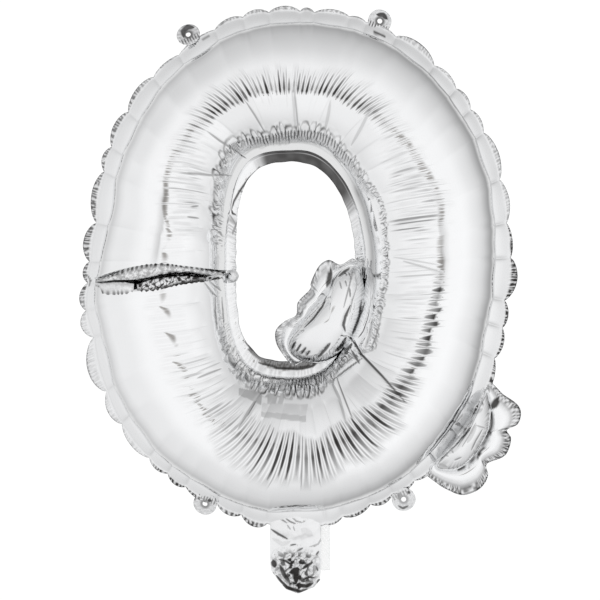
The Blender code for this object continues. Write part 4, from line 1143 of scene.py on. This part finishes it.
def make_split(material):
    """The weld across the tube: a web between its two ends, painted dark as shade, the lips in front of it and the
    knob at the hole.
    """
    def web_form(along, across):
        angle = SPLIT_ANGLE + (along - 0.5) * 5.0
        inner = hole_weld(angle)
        radius = inner + (crease_radius(angle) - inner) * across
        x, z = on_ring(angle, radius)
        y = 0.3 * waves(along * 3.0, across * 14.0, 51)
        # Painted shade: the web deep in the split is dark, darkest in its middle
        shade = (0.20 + 0.75 * np.sin(math.pi * across) ** 0.5) * (0.7 + 0.3 * creased(along * 2.0, across * 16.0, 52))
        return np.stack((x, y * MM, z), axis=2), 0.3 + 0.0 * along, shade
    web = film_sheet("split_web_film", 12, 90, web_form, material)
    stand_for(thicken(web, 0.0004), "margin_film", "split_weld_web")
    for side, lips, columns, rows in ((-1.0, SPLIT_LIPS, 150, 20), (1.0, BACK_SPLIT_LIPS, 110, 12)):
        for name, lip in lips.items():
            sheet = film_sheet(name, columns, rows, lip_form(side, **lip), material)
            piece = thicken(face_towards(sheet, side), 0.0003)
            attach(piece, "root")

    def knob_form(along, across):
        turn, rise_up = 2.0 * math.pi * along, math.pi * across
        centre, half = SPLIT_KNOB["centre"], SPLIT_KNOB["half_sizes"]
        bumps = 1.0 + 0.07 * facets(along * 4.0, across * 3.0, 57, 3) * np.sin(rise_up)
        x = centre[0] + half[0] * bumps * np.sin(rise_up) * np.cos(turn)
        y = centre[1] - half[1] * bumps * np.sin(rise_up) * np.sin(turn)
        z = centre[2] + half[2] * np.cos(rise_up)
        # Painted shade: a light grey over the knob, darker along its creases
        shade = 0.10 + 0.18 * creased(along * 6.0, across * 3.0, 58)
        return np.stack((x, y, z), axis=2), 0.4 + 0.0 * along, shade
    knob = film_sheet("split_knob", 40, 24, knob_form, material, merge=True)
    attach(knob, "root")


# The tail

def closed_reach(outline, centre):
    """How far a rounded closed outline lies from its centre, by angle in radians."""
    corners = np.array(outline)
    steps = np.linspace(0.0, 1.0, 13)[:-1]
    run = []
    for index in range(len(corners)):
        before, start, end, after = (corners[(index + step) % len(corners)] for step in (-1, 0, 1, 2))
        for share in steps:
            run.append(0.5 * (2.0 * start + (end - before) * share
                              + (2.0 * before - 5.0 * start + 4.0 * end - after) * share ** 2
                              + (3.0 * start - before - 3.0 * end + after) * share ** 3))
    run = np.array(run) - np.array(centre)
    angles = np.mod(np.arctan2(run[:, 1], run[:, 0]), 2.0 * math.pi)
    order = np.argsort(angles)
    angles, reach = angles[order], np.hypot(run[order, 0], run[order, 1])
    angles = np.concatenate((angles[-1:] - 2.0 * math.pi, angles, angles[:1] + 2.0 * math.pi))
    reach = np.concatenate((reach[-1:], reach, reach[:1]))
    return lambda angle: np.interp(np.mod(angle, 2.0 * math.pi), angles, reach)


def pillow_form(outline, centre, depth, side, seed, rows):
    """A film of a tail pillow: smooth in the middle and gathered round its weld."""
    reach_at = closed_reach(outline, centre)

    def form(along, across):
        turn = 2.0 * math.pi * along
        reach = reach_at(turn)
        x = centre[0] + reach * across * np.cos(turn)
        z = centre[1] + reach * across * np.sin(turn)
        height = depth * np.sqrt(np.maximum(0.0, 1.0 - across ** 2)) ** 0.8 + 0.8 * MM
        gathered = rise(across, 0.62, 0.94) * rise(1.0 - across, 0.0, 0.06)
        arc = turn * reach / MM
        ribs = zigzag(arc / 3.2 + 0.9 * waves(arc / 9.0, 0.0 * along, seed)) - 0.5
        lift = gathered * (0.6 * facets(x / 0.007, z / 0.007, seed, 3) + 0.6 * ribs)
        lift = lift + 0.5 * waves(x / 0.014, z / 0.014, seed + 2) * (1.0 - across ** 2)
        # Painted shade: a light grey over the pillow, darker in the grooves of its gathered edge, and its single folds
        shade = 0.08 + 0.22 * gathered * rise(-ribs, 0.0, 0.3)
        fold_lift, painted_shade_and_reflection = folded(x, z, rows)
        lift = lift + fold_lift
        return (np.stack((x, side * (height + lift * MM), z), axis=2), 0.2 * gathered,
                np.maximum(shade, painted_shade_and_reflection))
    return form


def tail_edge_form(inside, outside, centre, seed, darkness, rows):
    """The crinkled margin round a tail pillow."""
    inner_at, outer_at = closed_reach(inside, centre), closed_reach(outside, centre)

    def form(along, across):
        turn = 2.0 * math.pi * along
        front = np.where(across <= 0.5, 1.0, -1.0)
        out = np.where(across <= 0.5, across * 2.0, 2.0 - across * 2.0)
        start = inner_at(turn) * 0.93
        end = np.maximum(outer_at(turn), start + 0.0005)
        reach = start + (end - start) * out
        wide = rise((end - start) / MM, 2.0, 6.0)
        height = 3.6 * wide * np.sin(math.pi * np.clip(out / 0.75, 0.0, 1.0)) ** 0.8 + 0.12
        height = np.where(out > 0.75, 0.3, height)
        arc = turn * reach / MM
        ribs = zigzag(arc / 2.6 + 1.2 * waves(arc / 9.0, 0.0 * along, seed)) - 0.5
        crumples = facets(arc / 4.0, out * 3.0, seed, 4)
        on_weld = rise(out, 0.62, 0.82)
        y = -front * height + wide * (1.2 * ribs * on_weld + rise(out, 0.6, 1.0) * crumples)
        x = centre[0] + reach * np.cos(turn)
        z = centre[1] + reach * np.sin(turn)
        # Painted shade and painted dark reflections: the crinkled weld darker in its ribs and crumples, a dark line
        # along it, and the single folds
        shade = darkness * on_weld * rise(ribs + 0.7 * crumples, -0.25, 0.30) * wide
        shade = np.maximum(shade, 0.5 * darkness * np.exp(-((out - 0.72) / 0.05) ** 2) * wide)
        shade = np.maximum(shade, folded(x, z, rows)[1])
        return np.stack((x, y * MM, z), axis=2), rise(out, 0.6, 0.9), shade
    return form


def make_tail(panel_film, margin_film):
    for side, word, columns, rows in ((-1.0, "front", 300, 60), (1.0, "back", 140, 30)):
        inner = film_sheet("tail_inner_" + word + "_film", columns, rows, pillow_form(
            TAIL_INNER_PILLOW, TAIL_INNER_CENTRE, TAIL_INNER_DEPTH, side, 61, TAIL_INNER_FOLDS), panel_film,
            merge=True)
        stand_for(face_towards(inner, side), "panel_film", "tail_inner_" + word + "_panel")
        outer = film_sheet("tail_outer_" + word + "_film", columns, rows, pillow_form(
            TAIL_OUTER_PILLOW, TAIL_OUTER_CENTRE, TAIL_OUTER_DEPTH, side, 71, TAIL_OUTER_FOLDS), panel_film,
            merge=True)
        stand_for(face_towards(outer, side), "panel_film", "tail_outer_" + word + "_panel")
    inner_edge = TAIL_INNER_EDGE + TAIL_INNER_PILLOW[7:]
    edge = film_sheet("tail_inner_edge", 400, 20, tail_edge_form(
        TAIL_INNER_PILLOW, inner_edge, TAIL_INNER_CENTRE, 81, 0.45, TAIL_INNER_EDGE_FOLDS), margin_film, merge=True)
    stand_for(edge, "margin_film", "tail_inner_margin")
    outer_edge = TAIL_OUTER_EDGE + TAIL_OUTER_PILLOW[7:]
    edge = film_sheet("tail_outer_edge", 400, 20, tail_edge_form(
        TAIL_OUTER_PILLOW, outer_edge, TAIL_OUTER_CENTRE, 83, 0.75, TAIL_OUTER_FOLDS), margin_film, merge=True)
    stand_for(edge, "margin_film", "tail_outer_margin")


# The neck

def neck_form(side, seed):
    """A ply of the neck: smooth at the left, with a pouch at the right and crumpled at the end."""
    def form(along, across):
        top, bottom = NECK_LEFT[0][0], NECK_LEFT[-1][0]
        z = bottom + (top - bottom) * across
        left = np.interp(z, [row[0] for row in NECK_LEFT[::-1]], [row[1] for row in NECK_LEFT[::-1]])
        right = np.interp(z, [row[0] for row in NECK_RIGHT[::-1]], [row[1] for row in NECK_RIGHT[::-1]])
        x = left + (right - left) * along
        middle = np.sin(math.pi * along) ** 0.6
        crumpled = middle * (1.0 - 0.8 * rise(z, -0.362, -0.350))
        lift = 2.4 * middle * (0.3 + rise(z, -0.352, -0.340))
        lift += crumpled * (2.0 * facets(x / 0.008, z / 0.009, seed, 5) + 0.7 * facets(x / 0.004, z / 0.004, seed + 3, 4))
        # Painted shade and painted dark reflections: the single folds, the creases and turned-away facets of the
        # crumpled end, and a faint grey all over
        fold_lift, shade = folded(x, z, NECK_FOLDS)
        lower = crumpled * (1.0 - rise(z, -0.360, -0.352))
        cuts = np.maximum(0.7 * creased(x / 0.006, z / 0.0055, seed + 5), 0.92 * shards(x / 0.006, z / 0.0055, seed + 7))
        shade = np.maximum(np.maximum(shade, lower * cuts), 0.05)
        lift = np.maximum(lift + fold_lift * middle, -0.3)
        return np.stack((x, side * (0.5 + lift) * MM, z), axis=2), crumpled, shade
    return form


def make_neck(neck_film, clear_film):
    for side, word, columns, rows in ((-1.0, "front", 110, 120), (1.0, "back", 60, 60)):
        ply = film_sheet("neck_" + word + "_film", columns, rows, neck_form(side, 91), neck_film)
        stand_for(face_towards(ply, side), "neck_film", "neck_" + word + "_ply")

    def valve_form(along, across):
        x = VALVE_BOX["left"] + (VALVE_BOX["right"] - VALVE_BOX["left"]) * along
        z = VALVE_BOX["bottom"] + (VALVE_BOX["top"] - VALVE_BOX["bottom"]) * across
        y = 0.3 * MM * waves(along * 3.0, across * 4.0, 95)
        return np.stack((x, y, z), axis=2), 0.0 * along, 0.0 * along
    valve = film_sheet("neck_valve_sheet", 24, 24, valve_form, clear_film)
    stand_for(thicken(valve, 0.0002), "valve_film", "neck_valve_film")


# Materials

def crinkle_group():
    """Small facets of crumpled film, where the crinkle mask is: their height, roughness and a painted shade that
    follows the facets.
    """
    group = bpy.data.node_groups.new("film_crinkle", "ShaderNodeTree")
    sockets = (("Crinkle", "INPUT"), ("Base", "INPUT"), ("Height", "OUTPUT"), ("Roughness", "OUTPUT"),
               ("Tone", "OUTPUT"))
    for label, way in sockets:
        group.interface.new_socket(label, in_out=way, socket_type="NodeSocketFloat")
    nodes, links = group.nodes, group.links
    entry, leave = nodes.new("NodeGroupInput"), nodes.new("NodeGroupOutput")
    place = nodes.new("ShaderNodeTexCoord")

    def math_node(operation, first, second=None, third=None):
        node = nodes.new("ShaderNodeMath")
        node.operation = operation
        for socket, value in zip(node.inputs, (first, second, third)):
            if isinstance(value, float):
                socket.default_value = value
            elif value is not None:
                links.new(value, socket)
        return node.outputs[0]

    facet = nodes.new("ShaderNodeTexVoronoi")
    facet.feature = "F1"
    facet.inputs["Scale"].default_value = 260.0
    soft = nodes.new("ShaderNodeTexNoise")
    soft.inputs["Scale"].default_value = 55.0
    soft.inputs["Detail"].default_value = 2.0
    for texture in (facet, soft):
        links.new(place.outputs["Object"], texture.inputs["Vector"])
    both = math_node("MULTIPLY_ADD", soft.outputs["Fac"], 0.6, facet.outputs["Distance"])
    links.new(math_node("MULTIPLY", both, entry.outputs["Crinkle"]), leave.inputs["Height"])
    haze = math_node("MULTIPLY_ADD", entry.outputs["Crinkle"], 0.05, entry.outputs["Base"])
    links.new(math_node("MULTIPLY_ADD", soft.outputs["Fac"], 0.02, haze), leave.inputs["Roughness"])
    # Painted shade: the crinkled film is darker towards the edges of its small facets
    painted_crinkle_shade = math_node("MULTIPLY", facet.outputs["Distance"], entry.outputs["Crinkle"])
    links.new(math_node("MULTIPLY", painted_crinkle_shade, 0.22), leave.inputs["Tone"])
    return group


def film_material(name, colour, roughness, crinkles, bump):
    """Bright metallised film, greyer in its folds and wherever its painted shade and painted dark reflections darken
    it.
    """
    material = bpy.data.materials.new(name)
    material.use_nodes = True
    nodes, links = material.node_tree.nodes, material.node_tree.links
    shader = nodes["Principled BSDF"]
    shader.inputs["Metallic"].default_value = 1.0
    # Painted shade and painted dark reflections, stored on the film's points, mix the base colour towards dark
    shade = nodes.new("ShaderNodeAttribute")
    shade.attribute_name = "painted_shade_and_reflection"
    tone = nodes.new("ShaderNodeMix")
    tone.data_type = "RGBA"
    tone.inputs["A"].default_value = (*colour, 1.0)
    tone.inputs["B"].default_value = (*PAINTED_SHADE_COLOUR, 1.0)
    links.new(tone.outputs["Result"], shader.inputs["Base Color"])
    crinkle = nodes.new("ShaderNodeAttribute")
    crinkle.attribute_name = "crinkle"
    grain = nodes.new("ShaderNodeGroup")
    grain.node_tree = crinkles
    grain.inputs["Base"].default_value = roughness
    links.new(crinkle.outputs["Fac"], grain.inputs["Crinkle"])
    darker = nodes.new("ShaderNodeMath")
    darker.operation = "ADD"
    darker.use_clamp = True
    links.new(shade.outputs["Fac"], darker.inputs[0])
    links.new(grain.outputs["Tone"], darker.inputs[1])
    links.new(darker.outputs[0], tone.inputs["Factor"])
    links.new(grain.outputs["Roughness"], shader.inputs["Roughness"])
    relief = nodes.new("ShaderNodeBump")
    relief.inputs["Strength"].default_value = 0.5
    relief.inputs["Distance"].default_value = bump
    links.new(grain.outputs["Height"], relief.inputs["Height"])
    links.new(relief.outputs["Normal"], shader.inputs["Normal"])
    return material


def clear_material():
    """The clear gloss film of the valve."""
    material = bpy.data.materials.new("clear_valve_film")
    material.use_nodes = True
    nodes, links = material.node_tree.nodes, material.node_tree.links
    shader = nodes["Principled BSDF"]
    shader.inputs["Base Color"].default_value = (0.92, 0.93, 0.93, 1.0)
    shader.inputs["Roughness"].default_value = 0.08
    shader.inputs["Alpha"].default_value = 0.22
    ripple = nodes.new("ShaderNodeTexNoise")
    ripple.inputs["Scale"].default_value = 120.0
    place = nodes.new("ShaderNodeTexCoord")
    relief = nodes.new("ShaderNodeBump")
    relief.inputs["Strength"].default_value = 0.3
    relief.inputs["Distance"].default_value = 0.0005
    links.new(place.outputs["Object"], ripple.inputs["Vector"])
    links.new(ripple.outputs["Fac"], relief.inputs["Height"])
    links.new(relief.outputs["Normal"], shader.inputs["Normal"])
    return material


# Studio

def make_world():
    """A white light tent: brightest in front, greyer behind the balloon, and pure white as a backdrop."""
    world = bpy.data.worlds.new("light_tent")
    bpy.context.scene.world = world
    world.use_nodes = True
    nodes, links = world.node_tree.nodes, world.node_tree.links
    nodes.clear()
    out = nodes.new("ShaderNodeOutputWorld")
    place = nodes.new("ShaderNodeTexCoord")
    facing = nodes.new("ShaderNodeVectorMath")
    facing.operation = "DOT_PRODUCT"
    facing.inputs[1].default_value = (0.0, -1.0, 0.0)
    links.new(place.outputs["Generated"], facing.inputs[0])
    scale = nodes.new("ShaderNodeMapRange")
    scale.inputs["From Min"].default_value = -1.0
    links.new(facing.outputs["Value"], scale.inputs["Value"])
    ramp = nodes.new("ShaderNodeValToRGB")
    tones = ((0.0, 0.95), (0.015, 0.85), (0.05, 0.54), (0.10, 0.46), (0.22, 0.52), (0.35, 0.66), (0.50, 0.80),
             (0.62, 0.85), (0.78, 0.90), (0.92, 1.0), (1.0, 1.0))
    elements = ramp.color_ramp.elements
    while len(elements) < len(tones):
        elements.new(0.5)
    for element, (position, tone) in zip(elements, tones):
        element.position = position
        element.color = (tone, tone, tone * 1.005, 1.0)
    links.new(scale.outputs["Result"], ramp.inputs["Fac"])
    parts = nodes.new("ShaderNodeSeparateXYZ")
    links.new(place.outputs["Generated"], parts.inputs[0])

    def math_node(operation, *values):
        node = nodes.new("ShaderNodeMath")
        node.operation = operation
        for socket, value in zip(node.inputs, values):
            if isinstance(value, float):
                socket.default_value = value
            else:
                links.new(value, socket)
        return node.outputs[0]

    behind = math_node("POWER", math_node("SUBTRACT", 1.0, scale.outputs["Result"]), 2.0)
    upright = math_node("MULTIPLY", parts.outputs["Z"], parts.outputs["Z"])
    strength = math_node("MULTIPLY_ADD", upright, TENT_UPRIGHT_FALL, 1.0)
    strength = math_node("MULTIPLY_ADD", parts.outputs["Z"], TENT_TOP_FALL, strength)
    strength = math_node("MULTIPLY_ADD", parts.outputs["X"], -TENT_LEFT_FALL, strength)
    right = math_node("MULTIPLY", parts.outputs["X"], TENT_BACK_FALL)
    strength = math_node("MULTIPLY_ADD", right, behind, strength)
    tent = nodes.new("ShaderNodeBackground")
    links.new(ramp.outputs["Color"], tent.inputs["Color"])
    links.new(strength, tent.inputs["Strength"])
    backdrop = nodes.new("ShaderNodeBackground")
    backdrop.inputs["Color"].default_value = (1.0, 1.0, 1.0, 1.0)
    backdrop.inputs["Strength"].default_value = 1.05
    path = nodes.new("ShaderNodeLightPath")
    pick = nodes.new("ShaderNodeMixShader")
    links.new(path.outputs["Is Camera Ray"], pick.inputs["Fac"])
    links.new(tent.outputs["Background"], pick.inputs[1])
    links.new(backdrop.outputs["Background"], pick.inputs[2])
    links.new(pick.outputs["Shader"], out.inputs["Surface"])


def make_card(name, place, half_width, half_height, core, colour):
    """A glowing card with soft edges, which only the film's mirror sees."""
    x, y, z = place
    card = bmesh.new()
    bmesh.ops.create_grid(card, x_segments=1, y_segments=1, size=1.0)
    for vert in card.verts:
        vert.co = (x + vert.co.x * half_width, y, z + vert.co.y * half_height)
    mesh = bpy.data.meshes.new(name)
    card.to_mesh(mesh)
    card.free()
    material = bpy.data.materials.new(name + "_card")
    material.use_nodes = True
    nodes, links = material.node_tree.nodes, material.node_tree.links
    nodes.clear()
    out = nodes.new("ShaderNodeOutputMaterial")
    place = nodes.new("ShaderNodeTexCoord")
    centre = nodes.new("ShaderNodeMapping")
    centre.vector_type = "TEXTURE"
    centre.inputs["Location"].default_value = (x, y, z)
    centre.inputs["Scale"].default_value = (half_width, 1.0, half_height)
    length = nodes.new("ShaderNodeVectorMath")
    length.operation = "LENGTH"
    links.new(place.outputs["Object"], centre.inputs["Vector"])
    links.new(centre.outputs["Vector"], length.inputs[0])
    ramp = nodes.new("ShaderNodeValToRGB")
    ramp.color_ramp.elements[0].position = core
    ramp.color_ramp.elements[0].color = (1.0, 1.0, 1.0, 1.0)
    ramp.color_ramp.elements[1].position = 1.0
    ramp.color_ramp.elements[1].color = (0.0, 0.0, 0.0, 1.0)
    ramp.color_ramp.interpolation = "EASE"
    links.new(length.outputs["Value"], ramp.inputs["Fac"])
    clear = nodes.new("ShaderNodeBsdfTransparent")
    glow = nodes.new("ShaderNodeEmission")
    glow.inputs["Color"].default_value = (*colour, 1.0)
    pick = nodes.new("ShaderNodeMixShader")
    links.new(ramp.outputs["Color"], pick.inputs["Fac"])
    links.new(clear.outputs["BSDF"], pick.inputs[1])
    links.new(glow.outputs["Emission"], pick.inputs[2])
    links.new(pick.outputs["Shader"], out.inputs["Surface"])
    piece = make_piece(name, mesh, material)
    piece.visible_camera = False
    piece.visible_shadow = False
    piece.visible_diffuse = False


def make_floor():
    """A plain pale floor, below the picture."""
    floor = bmesh.new()
    bmesh.ops.create_circle(floor, cap_ends=True, segments=96, radius=0.75)
    mesh = bpy.data.meshes.new("studio_floor")
    floor.to_mesh(mesh)
    floor.free()
    material = bpy.data.materials.new("pale_floor")
    material.use_nodes = True
    shader = material.node_tree.nodes["Principled BSDF"]
    shader.inputs["Base Color"].default_value = (0.9, 0.9, 0.9, 1.0)
    shader.inputs["Roughness"].default_value = 0.6
    mesh.transform(Matrix.Translation((0.0, 0.0, FLOOR_HEIGHT)))
    floor = make_piece("studio_floor", mesh, material)
    floor.visible_glossy = False


def make_camera():
    data = bpy.data.cameras.new("photo_camera")
    data.sensor_width = SENSOR_WIDTH
    data.lens = SENSOR_WIDTH * CAMERA_DISTANCE / VIEW_WIDTH
    camera = bpy.data.objects.new("photo_camera", data)
    camera.location = (VIEW_CENTRE[0], -CAMERA_DISTANCE, VIEW_CENTRE[1])
    camera.rotation_euler = (math.radians(90.0), 0.0, 0.0)
    bpy.context.scene.collection.objects.link(camera)
    bpy.context.scene.camera = camera


def build():
    make_camera()
    make_world()
    # The grey of the camera, mirrored along the crest, and the white backdrop, mirrored by the hole's walls
    make_card("camera_card", (VIEW_CENTRE[0], -CAMERA_DISTANCE - 0.05, VIEW_CENTRE[1] + 0.155), 0.20, 0.17, 0.25,
              (0.400, 0.385, 0.370))
    make_card("hole_backdrop_card", (CENTRE_X, 0.16, CENTRE_Z), 0.42, 0.45, 0.55, (0.82, 0.82, 0.82))
    make_floor()
    crinkles = crinkle_group()
    panel_film = film_material("silver_panel_film", (0.93, 0.935, 0.94), 0.05, crinkles, 0.0004)
    margin_film = film_material("silver_margin_film", (0.91, 0.915, 0.92), 0.08, crinkles, 0.0006)
    neck_film = film_material("silver_neck_film", (0.90, 0.905, 0.91), 0.09, crinkles, 0.0006)
    make_ring_films(panel_film)
    make_brim(margin_film)
    make_hole_edge(margin_film)
    make_split(margin_film)
    make_hang_tabs(margin_film)
    make_tail(panel_film, margin_film)
    make_neck(neck_film, clear_material())
    bpy.context.scene.view_settings.view_transform = "Standard"


build()
